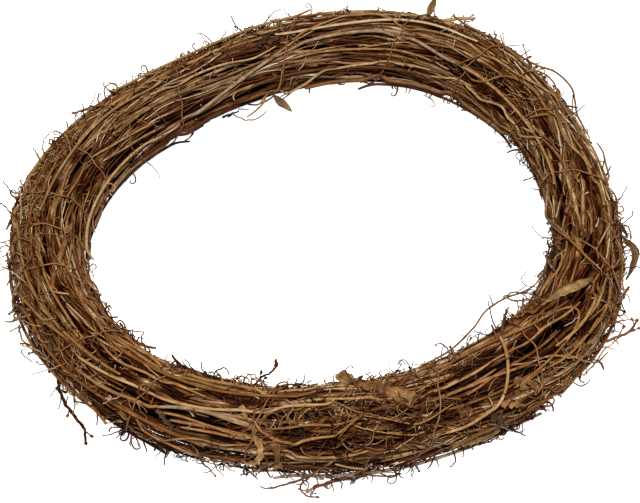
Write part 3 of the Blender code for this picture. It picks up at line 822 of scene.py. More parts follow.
def wind_wire():
    """The thin wire over the wound vines, pulled in a little here and there."""
    rng = random.Random("wire")
    x = WIRE_TURNS * WIRE_WRAP_MM
    bundle = 90.0 + 360.0 * WIRE_TURNS
    path = places(WIRE_ANGLES + wander(rng, x, 33.0, 0.5), WIRE_OUT, bundle,
                  wander(rng, x, 27.0, 0.3 * MM) + WIRE_RISE)
    piece = Piece("wire_wraps", "binding_wire", "binding_wire")
    keep_above(path, WIRE / 2)
    tube(piece, path, np.full(WIRE_POINTS, WIRE / 2), 6, (0.5, 1.0, 0.0, 0.5))
    piece.make()


LOOSE_SECTIONS = 4
REST_LANE = 270
LOOSE_LANES = (
    (REST_LANE, 3, "vine_brown"), (REST_LANE, 15, "vine_grey"), (REST_LANE, 27, "vine_brown"),
    (318, 10, "vine_tan"), (318, 19, "vine_brown"), (318, 26, "vine_grey"),
    (355, 6, "vine_brown"), (355, 11, "vine_tan"), (355, 18, "vine_tan"), (355, 29, "vine_tan"),
    (28, 5, "vine_tan"), (28, 13, "vine_brown"), (28, 20, "vine_tan"),
    (62, 1, "vine_grey"), (62, 9, "vine_tan"), (62, 18, "vine_tan"),
    (97, 5, "vine_tan"), (97, 13, "vine_brown"), (97, 22, "vine_tan"),
    (132, 0, "vine_tan"), (132, 10, "vine_grey"), (132, 18, "vine_brown"),
    (168, 6, "vine_brown"), (168, 14, "vine_tan"), (168, 23, "vine_brown"),
    (215, 3, "vine_brown"), (215, 13, "vine_dark"), (215, 31, "vine_brown"),
)
# Brightness of some loose canes; loose_cane_355_29 at the outer edge is painted lighter, a painted light
# against the shade it lies in
CANE_BRIGHTNESS = {"loose_cane_62_18": 0.6, "loose_cane_97_22": 0.8, "loose_cane_168_23": 0.6,
              "loose_cane_355_29": 1.5}
LANE_SWAY = 3.0
LANE_SLANT = 7.0
TIP_LIFT = 2.2 * MM
TIP_PART = 0.45 / LOOSE_SECTIONS
SHOOT_STEPS = 26
LOOSE_TONE = 0.85
LOOSE_SLIM = 0.85
CURLED_LONG = (9.0, 15.0)
TWIG_ROOT = 1.5
TWIGS = (
    ("loose_cane_318_19", 0.65 * MM,
     ((204, 1.6, 316), (209.7, 5.6, 325), (214.8, 7.6, 328), (218.6, 9, 330), (221.5, 14, 336))),
    ("loose_cane_318_26", 0.65 * MM,
     ((271, 1.4, 314), (265.6, 2.8, 315), (261.5, 6.5, 320))),
    ("loose_cane_355_29", 0.65 * MM,
     ((322.0, 3.3, 353), (324.2, 8, 354), (327.2, 10, 354))),
    ("loose_cane_28_5", 0.9 * MM,
     ((57, 2.4, 22), (53.5, 9, 14))),
    ("loose_cane_355_11", 0.6 * MM,
     ((133.5, 4.5, 360), (138.4, 12.6, 362))),
    ("loose_cane_168_23", 0.42 * MM,
     ((250, 3, 160), (253, 5, 150), (254.5, 8, 146))),
)


# A twig's spacing of points in mm, its side shoots and their length range in mm, and the length and
# width in mm of the buds at its end and at theirs
TWIG_STEP = 0.7
TWIG_SHOOTS = 3
TWIG_SHOOT_LONG = (2.5, 5.0)
END_BUD = (2.8 * MM, 1.8 * MM)
SIDE_BUD = (2.3 * MM, 1.5 * MM)


def knotted_path(knots, step):
    """The path over the loose canes through knots of ring angle, lift in mm and bundle angle."""
    rows = dense(knots, step)
    return places(rows[:, 0], LOOSE_OUT, rows[:, 2], rows[:, 1] * MM)


def twig(piece, rng, knots, thickness, tint):
    """A budded twig: its stem, side shoots and buds."""
    path = knotted_path(knots, TWIG_STEP)
    stray(rng, path, np.arange(len(path)) * TWIG_STEP, 11.0, 0.3 * MM)
    points = vine(piece, rng, path, thickness, 6, 1.6, tint, (1.0, 0.6), 7.0, 0.5, 0.05)
    along = unit(np.gradient(points, axis=0))
    bud(piece, points[-1], along[-1], *END_BUD, tint)
    for k in range(TWIG_SHOOTS):
        i = int((len(points) - 1) * (0.3 + 0.6 * k / (TWIG_SHOOTS - 1)))
        side = unit(np.cross(along[i], np.array((0.0, 0.0, 1.0)))) * (1 if k % 2 else -1)
        lean = unit(side + along[i] * 0.8 + np.array((0, 0, rng.uniform(0.0, 0.5))))
        length = rng.uniform(*TWIG_SHOOT_LONG) * MM
        path = np.array([points[i] + lean * length * t + along[i] * length * 0.2 * t * t
                         for t in (0.0, 0.35, 0.7, 1.0)])
        tube(piece, path, thickness * np.array([0.62, 0.5, 0.45, 0.42]), 5, tint)
        bud(piece, path[-1], lean, *SIDE_BUD, tint)


def lay_loose_cane(lane, first, slot):
    """A short cane over the wire, with the same draws as its solid and finer growth."""
    name = "loose_cane_" + str(lane) + "_" + str(first)
    rng = random.Random(name)
    fine = random.Random(name + " fine")
    resting = lane == REST_LANE
    slant = 0.0 if resting else rng.uniform(-LANE_SLANT, LANE_SLANT)
    sway = 0.0 if resting else rng.uniform(-LANE_SWAY, LANE_SWAY)
    tip = 0.0 if resting else TIP_LIFT
    head = tip * rng.uniform(0.5, 1.5)
    tail = tip * rng.uniform(0.5, 1.5)
    t = np.linspace(-TIP_PART, 1 + TIP_PART, 120)
    angle = (first + LOOSE_SECTIONS * t) * SECTION
    bundle = lane + slant * (2 * t - 1) + sway * np.sin(2 * math.pi * t)
    over = np.maximum(-t, t - 1) / TIP_PART
    lift = np.where(t < 0.5, head, tail) * np.clip(over, 0.0, 1.0) ** 1.5
    path = places(angle, LOOSE_OUT, bundle, lift)
    piece = Piece(name + "_bark", slot, name)
    hue, bright, age, seed = random_tint(fine)
    tint = (hue, bright * LOOSE_TONE * CANE_BRIGHTNESS.get(name, 1.0), age, seed)
    if resting:
        path[:, 2] = LOOSE_CANE / 2 * FLAT
        radii = np.full(len(path), LOOSE_CANE / 2 * FLAT)
        tube(piece, path[::3], radii[::3], 8, tint)
        piece.make()
        return
    vine(piece, fine, path, LOOSE_CANE / 2 * LOOSE_SLIM, 7, 2.6, tint, (0.65, 0.7), 30.0, 0.4)
    corners = [places((first + k) * SECTION, LOOSE_OUT,
                      lane + slant * (2 * k / LOOSE_SECTIONS - 1)
                      + sway * math.sin(2 * math.pi * k / LOOSE_SECTIONS))
               for k in range(LOOSE_SECTIONS + 1)]
    points = [path[0]] + corners + [path[-1]]
    last = len(points) - 1
    for i in rng.choice(((2,), (4,), (2, 4))):
        part = rng.uniform(0.25, 0.75)
        root = points[i] * (1 - part) + points[i + 1] * part
        along = unit(points[min(i + 1, last)] - points[i - 1])
        facing = outward((first + i - 1) * SECTION, lane)
        reach = unit(facing + along * rng.uniform(-0.9, 0.9))
        side = along * rng.choice((-1, 1))
        side = unit(side - reach * np.dot(side, reach) + np.cross(facing, along) * 0.3)
        side = unit(side - reach * np.dot(side, reach))
        length = rng.uniform(*CURLED_LONG) * MM
        shoot = curl(root, reach, side, length, rng.uniform(0.6, 1.0), SHOOT_STEPS)
        keep_above(shoot, TENDRIL / 2)
        u = np.arange(SHOOT_STEPS + 1) / SHOOT_STEPS
        tube(piece, shoot, TENDRIL / 2 * (1 - 0.45 * u), 6, tint)
    for cane, thickness, knots in TWIGS:
        if cane == name:
            back = knots[0][0] - TWIG_ROOT * math.copysign(1, knots[1][0] - knots[0][0])
            part = (back / SECTION - first) / LOOSE_SECTIONS
            at = lane + slant * (2 * part - 1) + sway * math.sin(2 * math.pi * part)
            twig(piece, fine, ((back, 0.0, at),) + knots, thickness, tint)
    piece.make()


BOWED_CANES = (
    ("loop_cane", "vine_tan", 1.0 * MM,
     ((43, 0, 25), (38.5, 0.3, 20), (35.2, 2.6, 15), (31.8, 6.4, 13), (26.8, 7, 11),
      (23.2, 3.6, 10), (20, 0.5, 7), (14, 0, 1))),
    ("arc_cane", "vine_brown", 0.9 * MM,
     ((286, 0, 118), (294, 0.3, 134), (303, 4.6, 154), (309.6, 8.5, 159), (316, 7.2, 160),
      (320, 3, 157), (323.5, 0.3, 152), (328, 0, 146))),
    ("slanting_cane", "vine_tan", 1.1 * MM,
     ((347, 0.1, 160), (340.3, 0.3, 136), (335, 0.4, 110), (331, 0.3, 84), (329.3, 0.2, 57))),
    ("hairpin_cane", "vine_tan", 1.1 * MM,
     ((300, 0.1, 104), (310.3, 0.2, 90), (315.2, 0.4, 81), (317.9, 0.5, 70), (318, 0.5, 59),
      (315.5, 0.4, 51), (311, 0.2, 46), (300, 0.1, 39))),
)
BOWED_SLIM = 0.52


def bow_canes():
    """The canes that bow away from the bundle, as in the solids."""
    for name, slot, radius, knots in BOWED_CANES:
        rng = random.Random(name)
        path = knotted_path(knots, 0.8)
        piece = Piece(name + "_bark", slot, name)
        hue, bright, age = (0.75, 0.8, 1.0) if name == "arc_cane" else (0.35, 0.8, 0.4)
        tint = (hue, bright, age, rng.random())
        vine(piece, rng, path, radius * BOWED_SLIM, 8, 1.8, tint, (0.6, 0.6), 40.0, 0.4)
        piece.make()


# Other long canes seen on top of the bundle, read in the photo: finish, radius in mm,
# distance from the bundle's centre line in mm, and the pixels that each runs through
SEEN_CANES = (
    ("tan", 1.1, 17.6, ((430, 31), (444, 34), (458, 39), (476, 47), (490, 56), (503, 64), (517, 74),
     (534, 83), (546, 90), (556, 97), (565, 106), (572, 113), (576, 120))),
    ("tan", 0.9, 18.3, ((460, 69), (466, 76), (476, 81), (486, 81), (494, 78), (503, 76), (514, 78),
     (528, 86), (539, 96), (548, 106), (556, 116), (560, 127), (565, 141))),
    ("gold", 1, 18, ((430, 76), (444, 78), (458, 82), (471, 90), (480, 99), (493, 103), (503, 108),
     (508, 120), (514, 130), (521, 136), (531, 137), (541, 138))),
    ("brown", 1.2, 17.4, ((541, 138), (552, 148), (563, 162), (570, 170), (579, 182))),
    ("tan", 0.8, 18.2, ((565, 142), (564, 153), (563, 165), (564, 176), (565, 184))),
    ("tan", 1.2, 17.5, ((562, 131), (570, 145), (582, 156), (591, 167), (597, 179), (601, 191),
     (604, 205))),
    ("tan", 0.9, 17, ((565, 121), (570, 131), (576, 141), (582, 149))),
    ("red", 0.8, 18.6, ((455, 66), (468, 60), (479, 56))),
    ("tan", 0.8, 18.6, ((528, 118), (539, 115), (548, 114))),
    ("grey", 1, 18, ((548, 184), (547, 198), (546, 216), (552, 222), (563, 231), (576, 242),
     (583, 249))),
    ("grey", 0.9, 17.3, ((597, 143), (603, 152), (606, 165), (610, 182), (611, 197))),
    ("gold", 0.9, 17.8, ((610, 224), (605, 233), (598, 246))),
    ("tan", 0.8, 18, ((587, 211), (591, 219), (591, 233))),
    ("gold", 1.35, 18.6, ((499, 335), (506, 351), (508, 369), (506, 388), (499, 404), (485, 415),
     (467, 426), (446, 433))),
    ("gold", 1.1, 17.2, ((422, 392), (437, 388), (453, 383), (467, 377), (481, 369), (492, 361))),
    ("tan", 0.7, 18.2, ((555, 356), (571, 356), (585, 361), (599, 361), (608, 352))),
    ("brown", 0.9, 17.6, ((467, 395), (485, 383), (496, 374))),
    ("brown", 1, 17, ((439, 395), (460, 390), (481, 379), (496, 369))),
    ("tan", 0.7, 18.4, ((360, 415), (387, 419), (414, 424), (428, 420), (442, 411), (453, 404))),
    ("tan", 0.7, 18, ((428, 433), (414, 435), (387, 433))),
    ("tan", 1.2, 17.6, ((596, 285), (596, 297), (590, 311), (580, 326), (565, 340))),
    ("tan", 1.2, 17.2, ((610, 276), (609, 299), (601, 317), (589, 333), (574, 347))),
    ("red", 1.1, 17.2, ((571, 251), (569, 265), (560, 279), (548, 292), (535, 302), (521, 315))),
    ("tan", 1, 17, ((562, 251), (560, 267), (549, 281), (539, 294))),
    ("gold", 1.2, 18, ((66, 348), (86, 362), (111, 376), (139, 387), (163, 399), (186, 405), (210, 409),
     (238, 410), (262, 409), (287, 406), (309, 405), (327, 404), (335, 399))),
    ("tan", 1.5, 17.6, ((76, 368), (100, 385), (125, 397), (145, 406), (157, 406))),
    ("grey", 1.5, 17.2, ((157, 407), (175, 407), (194, 409), (210, 413), (238, 421), (258, 429))),
    ("tan", 1.1, 17.2, ((100, 342), (117, 360), (139, 370), (159, 377), (183, 387), (206, 397))),
    ("tan", 1.3, 17, ((109, 334), (129, 348), (149, 362), (171, 374), (198, 381), (218, 387),
     (238, 391))),
    ("tan", 1.2, 17.6, ((123, 334), (145, 352), (163, 366), (183, 372), (202, 379), (228, 384),
     (254, 389), (278, 395))),
    ("tan", 1.2, 18.6, ((254, 421), (264, 435), (276, 444), (291, 446), (303, 441), (317, 438),
     (335, 436))),
    ("tan", 0.8, 18.8, ((335, 436), (349, 425), (360, 417))),
    ("tan", 1, 17.8, ((266, 429), (287, 428), (309, 425), (333, 425), (351, 421), (368, 413))),
    ("tan", 1.1, 17.8, ((258, 453), (287, 456), (317, 458), (347, 456), (368, 451))),
    ("gold", 0.8, 18, ((335, 464), (353, 468), (368, 469))),
    ("tan", 0.8, 18.4, ((159, 441), (179, 439), (198, 439), (222, 445), (244, 449))),
    ("tan", 1, 17.6, ((131, 419), (147, 433), (171, 445), (198, 456))),
    ("red", 2.3, 17, ((74, 213), (72, 228), (65, 242), (61, 254), (54, 272), (53, 289))),
    ("pale", 0.9, 18.6, ((51, 291), (60, 293), (69, 294))),
    ("tan", 1.2, 17.2, ((72, 242), (70, 261), (75, 285), (85, 307), (98, 322), (117, 337), (139, 350),
     (165, 363), (187, 372))),
    ("brown", 1.1, 17, ((80, 242), (80, 263), (87, 287), (98, 307), (113, 322))),
    ("tan", 0.8, 18.4, ((61, 248), (63, 268), (66, 283))),
    ("tan", 1, 17.4, ((40, 242), (41, 263), (50, 287), (63, 309), (74, 326), (82, 337))),
    ("tan", 1.3, 17.6, ((15, 289), (28, 304), (43, 320), (59, 333), (72, 343))),
    ("grey", 0.9, 18, ((17, 254), (16, 276), (13, 294), (13, 307), (17, 315))),
    ("gold", 1, 17.6, ((93, 155), (108, 148), (130, 135), (152, 124))),
    ("brown", 1.1, 17.2, ((100, 163), (122, 150), (143, 137), (165, 126))),
    ("brown", 0.45, 18.4, ((130, 120), (130, 133), (132, 148), (143, 159), (152, 166), (158, 173),
     (160, 179))),
    ("red", 2.2, 16.6, ((128, 163), (108, 183), (100, 202), (91, 222), (89, 242))),
    ("tan", 1, 17.4, ((61, 152), (52, 170), (43, 185), (35, 200), (29, 215))),
    ("tan", 1, 17.2, ((69, 168), (63, 185), (56, 205), (54, 222))),
    ("tan", 1, 17.6, ((87, 159), (80, 176), (72, 189), (65, 202))),
    ("grey", 1.5, 18, ((186, 122), (200, 111), (238, 82), (271, 59), (302, 43), (340, 34), (379, 31),
     (410, 38), (440, 55), (455, 63))),
    ("tan", 1.1, 17.4, ((289, 60), (305, 55), (327, 51), (365, 49), (400, 51), (430, 60))),
    ("gold", 1.1, 17.6, ((259, 105), (280, 97), (305, 84), (323, 71), (339, 68), (365, 64), (400, 64),
     (430, 70))),
    ("gold", 0.8, 18.8, ((282, 70), (281, 80), (277, 92), (271, 99), (262, 105), (247, 117))),
    ("gold", 1, 17.6, ((150, 95), (180, 82), (207, 70), (225, 64), (251, 59), (266, 52), (276, 46))),
    ("gold", 1, 17.8, ((284, 41), (305, 31), (332, 20), (344, 16), (359, 15), (375, 14), (389, 18),
     (409, 27), (430, 31))),
    ("red", 1.9, 16.8, ((305, 88), (332, 82), (359, 80), (394, 81), (430, 88), (455, 101))),
    ("dark", 2, 16.6, ((130, 166), (150, 151), (180, 134), (198, 125), (216, 114), (240, 105))),
    ("red", 1.1, 17.2, ((569, 252), (565, 265), (555, 282), (540, 298), (530, 308))),
    ("red", 1.2, 17.2, ((578, 258), (574, 270), (562, 288), (548, 300), (535, 310))),
    ("tan", 1.2, 17.3, ((602, 280), (602, 292), (595, 308), (582, 322), (570, 335), (556, 346))),
    ("red", 1.2, 17.4, ((570, 295), (550, 308), (530, 320), (512, 332), (492, 342), (475, 350),
     (455, 360), (430, 372))),
    ("tan", 1.1, 17.4, ((580, 302), (565, 315), (548, 325), (530, 338), (512, 350), (492, 361))),
    ("gold", 0.8, 18.1, ((512, 365), (530, 362), (542, 358), (555, 355), (570, 358), (580, 355))),
    ("tan", 1.1, 17.5, ((430, 400), (455, 392), (480, 382), (498, 375), (518, 368), (535, 362))),
    ("red", 1.1, 17.3, ((560, 330), (545, 343), (528, 355), (510, 366), (490, 378))),
    ("tan", 1, 17.5, ((598, 318), (588, 334), (574, 350), (556, 364), (536, 376), (514, 388))),
    ("grey", 0.9, 17.6, ((606, 322), (597, 340), (583, 357), (564, 372), (545, 384))),
    ("tan", 1, 17.4, ((430, 383), (410, 389), (388, 394), (362, 398), (336, 399))),
    ("red", 0.9, 17.4, ((448, 410), (470, 403), (494, 394), (516, 383), (535, 371))),
    ("gold", 1.3, 16.9, ((168, 399), (186, 405), (206, 412), (226, 419), (246, 426), (262, 434))),
    ("tan", 1.2, 16.6, ((160, 412), (180, 416), (204, 424), (228, 432), (250, 439), (268, 446))),
    ("brown", 1.4, 16.2, ((176, 402), (198, 410), (220, 414), (244, 418), (266, 424))),
    ("tan", 1, 17, ((180, 427), (204, 431), (228, 436), (246, 441))),
    ("brown", 1.3, 16, ((170, 420), (192, 424), (216, 428), (240, 434), (262, 441))),
)

# Canes that back the edges, in ring places: finish, radius in mm, and ring angle,
# lift over the loose canes in mm and bundle angle
BACKING_CANES = (
    ("dark", 2.4, ((178, -1, 203), (165, -0.8, 206), (150, -0.8, 208), (135, -0.9, 206),
     (120, -1, 202))),
    ("brown", 1.6, ((180, -0.6, 196), (166, -0.4, 199), (150, -0.5, 197), (136, -0.5, 200),
     (118, -0.7, 196))),
    ("dark", 2.4, ((74, -1, 203), (60, -0.8, 206), (48, -0.8, 208), (36, -0.9, 206), (24, -1, 202))),
    ("brown", 1.6, ((72, -0.6, 196), (60, -0.4, 199), (48, -0.5, 197), (36, -0.5, 200),
     (22, -0.7, 195))),
    ("brown", 2, ((110, -0.8, 8), (125, -0.7, 12), (140, -0.8, 10), (155, -0.7, 14), (170, -0.8, 9))),
    ("gold", 1.5, ((104, -0.6, 20), (120, -0.4, 23), (135, -0.5, 18), (150, -0.4, 24),
     (164, -0.6, 19))),
    ("dark", 2.2, ((116, -1, 350), (132, -0.9, 353), (146, -1, 351), (160, -0.9, 355), (172, -1, 350))),
    ("tan", 1.4, ((128, -0.5, 36), (142, -0.3, 33), (156, -0.4, 38), (170, -0.3, 34), (182, -0.5, 38))),
)
SEEN_SLIM = 0.6
SEEN_FINISHES = {
    "gold": ("vine_tan", 0.62, 0.82, 0.4), "pale": ("vine_tan", 0.7, 0.8, 0.5),
    "tan": ("vine_tan", 0.35, 0.9, 0.3), "brown": ("vine_brown", 0.6, 1.0, 0.1),
    "red": ("vine_brown", 0.4, 1.0, 0.2), "grey": ("vine_grey", 0.5, 0.9, 0.3),
    "dark": ("vine_dark", 0.6, 1.0, 0.2), "twig": ("vine_dark", 0.75, 1.5, 0.5),
}


class Gathered(dict):
    """Pieces that gather many shapes, one for each slot, named by a word and the slot's last part."""

    def piece(self, word, slot):
        """The piece for a slot."""
        if slot not in self:
            self[slot] = Piece(word + slot.split("_")[1], slot)
        return self[slot]

    def make(self):
        """Make all the pieces, in the order of their slots."""
        for slot in sorted(self):
            self[slot].make()


def lay_seen_canes():
    """The long canes that can be told apart, and those that back the edges."""
    pieces = Gathered()
    canes = [(finish, radius, seen_places(pixels, distance))
             for finish, radius, distance, pixels in SEEN_CANES]
    for number, (finish, radius, knots) in enumerate(canes + list(BACKING_CANES)):
        rng = random.Random(number)
        slot, hue, bright, age = SEEN_FINISHES[finish]
        piece = pieces.piece("seen_canes_", slot)
        rows = dense(knots, 0.8)
        reach = LOOSE_OUT * swell_at(rows[:, 0], rows[:, 2]) + rows[:, 1] * MM
        reach = settle(rows[:, 0], reach, rows[:, 2], radius * MM, rows[:, 1].max() < 1.3)
        path = places(rows[:, 0], 0.0, rows[:, 2], reach)
        tint = (hue + rng.uniform(-0.12, 0.12), bright, age, rng.random())
        vine(piece, rng, path, radius * SEEN_SLIM * MM, 8, 2.4, tint, (0.7, 0.7), 50.0, 0.3)
    pieces.make()


# Thin twigs and tendrils that can be told apart, in the same way
SHOOTS = (
    ("brown", 0.45, 18.6, ((527, 71), (549, 77), (557, 92))),
    ("grey", 0.4, 18, ((503, 297), (508, 294.5), (514, 292), (524, 293), (534, 296.5))),
    ("grey", 0.38, 18, ((504, 296.5), (510, 299.5), (518, 301), (526, 300), (534, 298.5))),
    ("twig", 0.25, 18, ((517.5, 292), (522.5, 288), (526, 285.5))),
    ("twig", 0.3, 18, ((521, 293), (527, 298), (532.5, 303), (536, 304))),
    ("twig", 0.16, 18, ((524, 278), (525, 273), (530, 270.5))),
    ("twig", 0.75, 17.5, ((502, 331), (504, 321), (505.5, 314), (508.5, 307))),
    ("twig", 0.5, 17.5, ((497, 338), (494, 331), (491.5, 325))),
    ("twig", 0.25, 18, ((504, 322), (508, 316), (513, 318), (512, 323), (507, 323))),
    ("twig", 0.7, 17.5, ((555, 271), (551, 266), (548.5, 261), (546, 256))),
    ("twig", 0.6, 17.5, ((560, 250), (557.5, 246), (556, 241))),
    ("brown", 0.7, 18, ((617, 303), (622.5, 297), (626, 290))),
    ("twig", 0.3, 18, ((612, 343), (620, 337), (627.5, 332.5), (634, 331))),
    ("twig", 0.3, 18, ((612, 325), (620, 321), (628, 320), (636, 320))),
    ("twig", 0.25, 18, ((618, 309), (623, 312), (626, 316), (630, 321))),
    ("twig", 0.55, 18, ((612, 268), (618, 262), (620, 252), (617, 244))),
    ("brown", 0.35, 18, ((613, 238), (617, 228), (622.5, 225), (629, 228), (631, 238), (628, 246))),
    ("twig", 0.3, 18, ((630, 256), (636, 255), (639, 254.5))),
    ("twig", 0.4, 18, ((437, 34), (449, 28), (460, 24), (472, 21))),
    ("brown", 0.35, 18, ((232, 112), (238, 117), (246, 120), (256, 119), (262, 115), (267, 111))),
    ("twig", 0.22, 18, ((424, 95), (429, 98), (433, 101), (435, 105), (431, 107), (428, 104))),
    ("twig", 0.2, 18, ((508, 134), (506, 138), (508, 143), (512, 147), (509, 149))),
    ("twig", 0.2, 18, ((524, 150), (518, 152), (516, 157), (520, 161), (525, 159))),
    ("twig", 0.25, 18, ((541, 166), (536, 165), (532, 168), (533, 172))),
    ("brown", 0.5, 18, ((104, 105), (98, 106), (86, 109), (73, 113))),
    ("twig", 0.3, 18, ((73, 139), (66, 144), (60, 146), (57, 151))),
    ("twig", 0.3, 18, ((61, 158), (55, 160), (50, 163), (47, 169))),
    ("twig", 0.35, 18, ((32, 225), (26, 222.5), (21, 223), (18.5, 227))),
    ("twig", 0.4, 18, ((29, 241), (22, 238.5), (18, 239), (12.5, 243))),
    ("twig", 0.45, 18, ((20, 261.5), (14, 261), (6, 261))),
    ("grey", 0.7, 18, ((30, 315), (21, 317.5), (13, 321), (4.5, 322))),
    ("twig", 0.3, 18, ((22, 327), (16, 328.5), (11, 331))),
    ("twig", 0.25, 18, ((32, 362), (27, 358), (23, 355), (21.5, 351), (24, 348.5), (26, 350))),
    ("grey", 0.45, 18, ((19, 325), (22.5, 340), (32.5, 350), (47.5, 360), (57.5, 370))),
    ("twig", 0.25, 17.8, ((86, 268), (90, 266), (92.5, 264), (96, 265), (96, 268), (93, 269))),
    ("twig", 0.16, 17.8, ((92, 268), (93, 274), (94, 280), (93, 286))),
    ("twig", 0.75, 17.8, ((86, 296), (94, 299), (99, 305), (103, 311))),
    ("twig", 0.55, 17.8, ((99, 310), (105, 308.5), (110, 306), (111.5, 308.5))),
    ("twig", 0.25, 17.8, ((94, 300), (97.5, 297.5), (100, 293.5))),
    ("twig", 0.25, 17.8, ((161, 368), (164, 365), (167.5, 361), (172.5, 362.5), (175, 366),
     (172.5, 369))),
    ("twig", 0.4, 18, ((66, 378), (72, 384), (74, 392), (74.5, 402), (73.5, 413))),
    ("brown", 0.28, 17.8, ((238, 392), (234, 385), (236, 378), (243, 376), (249, 380), (247, 386))),
    ("brown", 0.28, 17.8, ((246, 391), (243, 383), (248, 375), (255, 375), (259, 381), (268, 388))),
    ("twig", 0.28, 17.8, ((255, 392), (251, 385), (254, 378), (261, 380), (266, 386))),
    ("twig", 0.25, 17.8, ((231, 389), (232, 381), (238, 378), (242, 384), (238, 389))),
    ("twig", 0.25, 17.8, ((318, 392), (322.5, 387.5), (330, 382.5), (336, 385), (340, 381))),
    ("twig", 0.22, 17.8, ((366, 375), (370, 372.5), (368, 368))),
    ("brown", 0.25, 17.8, ((385, 382), (388, 376), (393, 373.5), (398, 376.5), (396, 381), (390, 380))),
    ("twig", 0.22, 17.8, ((402, 379), (405, 375), (412.5, 369), (425, 366.5), (440, 366))),
    ("twig", 0.55, 17.8, ((455, 362), (454.5, 356), (452.5, 350), (449, 346))),
    ("twig", 0.35, 17.8, ((449, 360), (449, 353), (446, 347), (440, 343), (436, 345))),
    ("twig", 0.38, 18, ((190, 444), (198, 453), (207.5, 467), (215, 476))),
    ("twig", 0.35, 18, ((199, 457), (212, 461), (225, 461.5), (238, 460))),
    ("twig", 0.38, 18, ((278, 461), (264, 467), (252.5, 471.5), (241, 475))),
    ("twig", 0.5, 18, ((345, 454), (330, 463), (310, 475), (297, 481), (283, 485), (272, 488),
     (265, 488.5), (260, 486))),
    ("twig", 0.6, 18, ((372, 464), (360, 471), (352, 474.5), (335, 480), (320, 485.5), (307, 491.5))),
    ("twig", 0.45, 18, ((309, 478), (303, 482), (300, 487), (303, 493), (309, 496.5), (317.5, 497.5))),
    ("twig", 0.35, 18, ((312, 474), (306, 480), (309, 486), (304, 491), (299, 489))),
    ("twig", 0.3, 18, ((318, 484), (313, 487), (311, 492), (316, 494))),
    ("twig", 0.25, 18, ((322, 484), (327, 489), (331, 487), (332, 483))),
    ("twig", 0.38, 18, ((352, 480), (357, 476), (368, 475), (385, 476.5), (400, 474))),
    ("twig", 0.45, 18, ((415, 450), (415, 462), (419, 471))),
    ("twig", 0.22, 18, ((409, 452), (413, 463), (411, 473), (414, 482))),
    ("twig", 0.38, 18, ((503, 417), (517.5, 415), (530, 410.5), (545, 407.5))),
    ("twig", 0.3, 18, ((508, 424), (516, 422.5), (524, 418), (530, 412))),
    ("grey", 0.55, 18, ((490, 424), (503, 427), (515, 431), (526, 436))),
    ("twig", 0.4, 18, ((548, 386), (555, 392), (561, 396))),
    ("twig", 0.6, 18, ((597, 360), (602, 365), (604, 370))),
    ("twig", 0.28, 18, ((574, 383), (581, 386), (588, 383), (590, 378))),
    ("grey", 0.3, 18.4, ((586, 372), (596, 362), (604, 350), (614, 343))),
    ("grey", 0.28, 18.4, ((592, 344), (600, 336), (611, 331), (620, 332))),
    ("tan", 0.28, 18.4, ((580, 360), (592, 352), (604, 347), (616, 350))),
    ("tan", 0.3, 18.6, ((355, 426), (370, 430), (387.5, 433), (400, 432.5), (412.5, 427.5),
     (417, 421))),
    ("tan", 0.28, 18.6, ((330, 401), (340, 404), (350, 409), (360, 412.5), (375, 415), (387.5, 420))),
    ("tan", 0.25, 18.6, ((360, 414), (352, 424), (344, 431), (338, 440))),
    ("tan", 0.25, 18.6, ((352, 409), (349, 418), (341, 425), (330, 430))),
    ("tan", 0.25, 18.6, ((388, 420), (399, 415), (408, 408), (412, 399))),
    ("tan", 0.22, 18.6, ((400, 416), (397, 408), (402, 403), (409, 405))),
    ("tan", 0.22, 18.6, ((295, 404), (291, 412), (287, 420), (291, 427), (288, 433))),
    ("tan", 0.25, 18.6, ((293, 410), (300, 409), (309, 403), (316, 398))),
    ("brown", 0.25, 18.6, ((341, 440), (347, 448), (355, 452), (362, 449))),
    ("brown", 0.22, 18.6, ((300, 447), (305, 454), (316, 457), (325, 452))),
)


SHOOT_STEP = 0.6
# A bud's length and width as multiples of its shoot's radius
BUD_LONG = 4.5
BUD_WIDE = 2.8


def lay_shoots():
    """The thin twigs and tendrils that can be told apart, one piece for each slot."""
    pieces = Gathered()
    for number, (finish, radius, distance, pixels) in enumerate(SHOOTS):
        rng = random.Random("shoot" + str(number))
        slot, hue, bright, age = SEEN_FINISHES[finish]
        piece = pieces.piece("shoots_", slot)
        path = knotted_path(seen_places(pixels, distance), SHOOT_STEP)
        stray(rng, path, np.arange(len(path)) * SHOOT_STEP, 6.0, 0.18 * MM)
        keep_above(path, (radius + 0.1) * MM)
        tint = (hue + rng.uniform(-0.1, 0.1), bright, age, rng.random())
        points = vine(piece, rng, path, radius * MM, 5, 1.4, tint, (0.9, 0.55), 9.0, 0.4, 0.05)
        if finish == "twig" and 0.28 < radius < 0.5:
            way = unit(points[-1] - points[-2])
            bud(piece, points[-1], way, radius * BUD_LONG * MM, radius * BUD_WIDE * MM, tint)
    pieces.make()


def wire_distance(angle, bundle):
    """How far along the ring the nearest pass of the wire is, in mm."""
    part = (bundle - 90.0) / 360.0 % 1.0
    nearest = np.full(np.shape(angle), 1000.0)
    for wrap in range(-1, WIRE_WRAPS + 1):
        turns = part + wrap
        at = np.interp(turns, WIRE_TURNS, WIRE_ANGLES)
        away = np.abs(turn_between(angle, at)) / DEGREES_PER_MM
        wound = (turns >= WIRE_TURNS[0]) & (turns <= WIRE_TURNS[-1])
        nearest = np.where(wound, np.minimum(nearest, away), nearest)
    return nearest


def softer_min(a, b):
    """The smaller of two distances, rounded where they cross."""
    sharp = 2.5 / MM
    return -np.logaddexp(-a * sharp, -b * sharp) / sharp


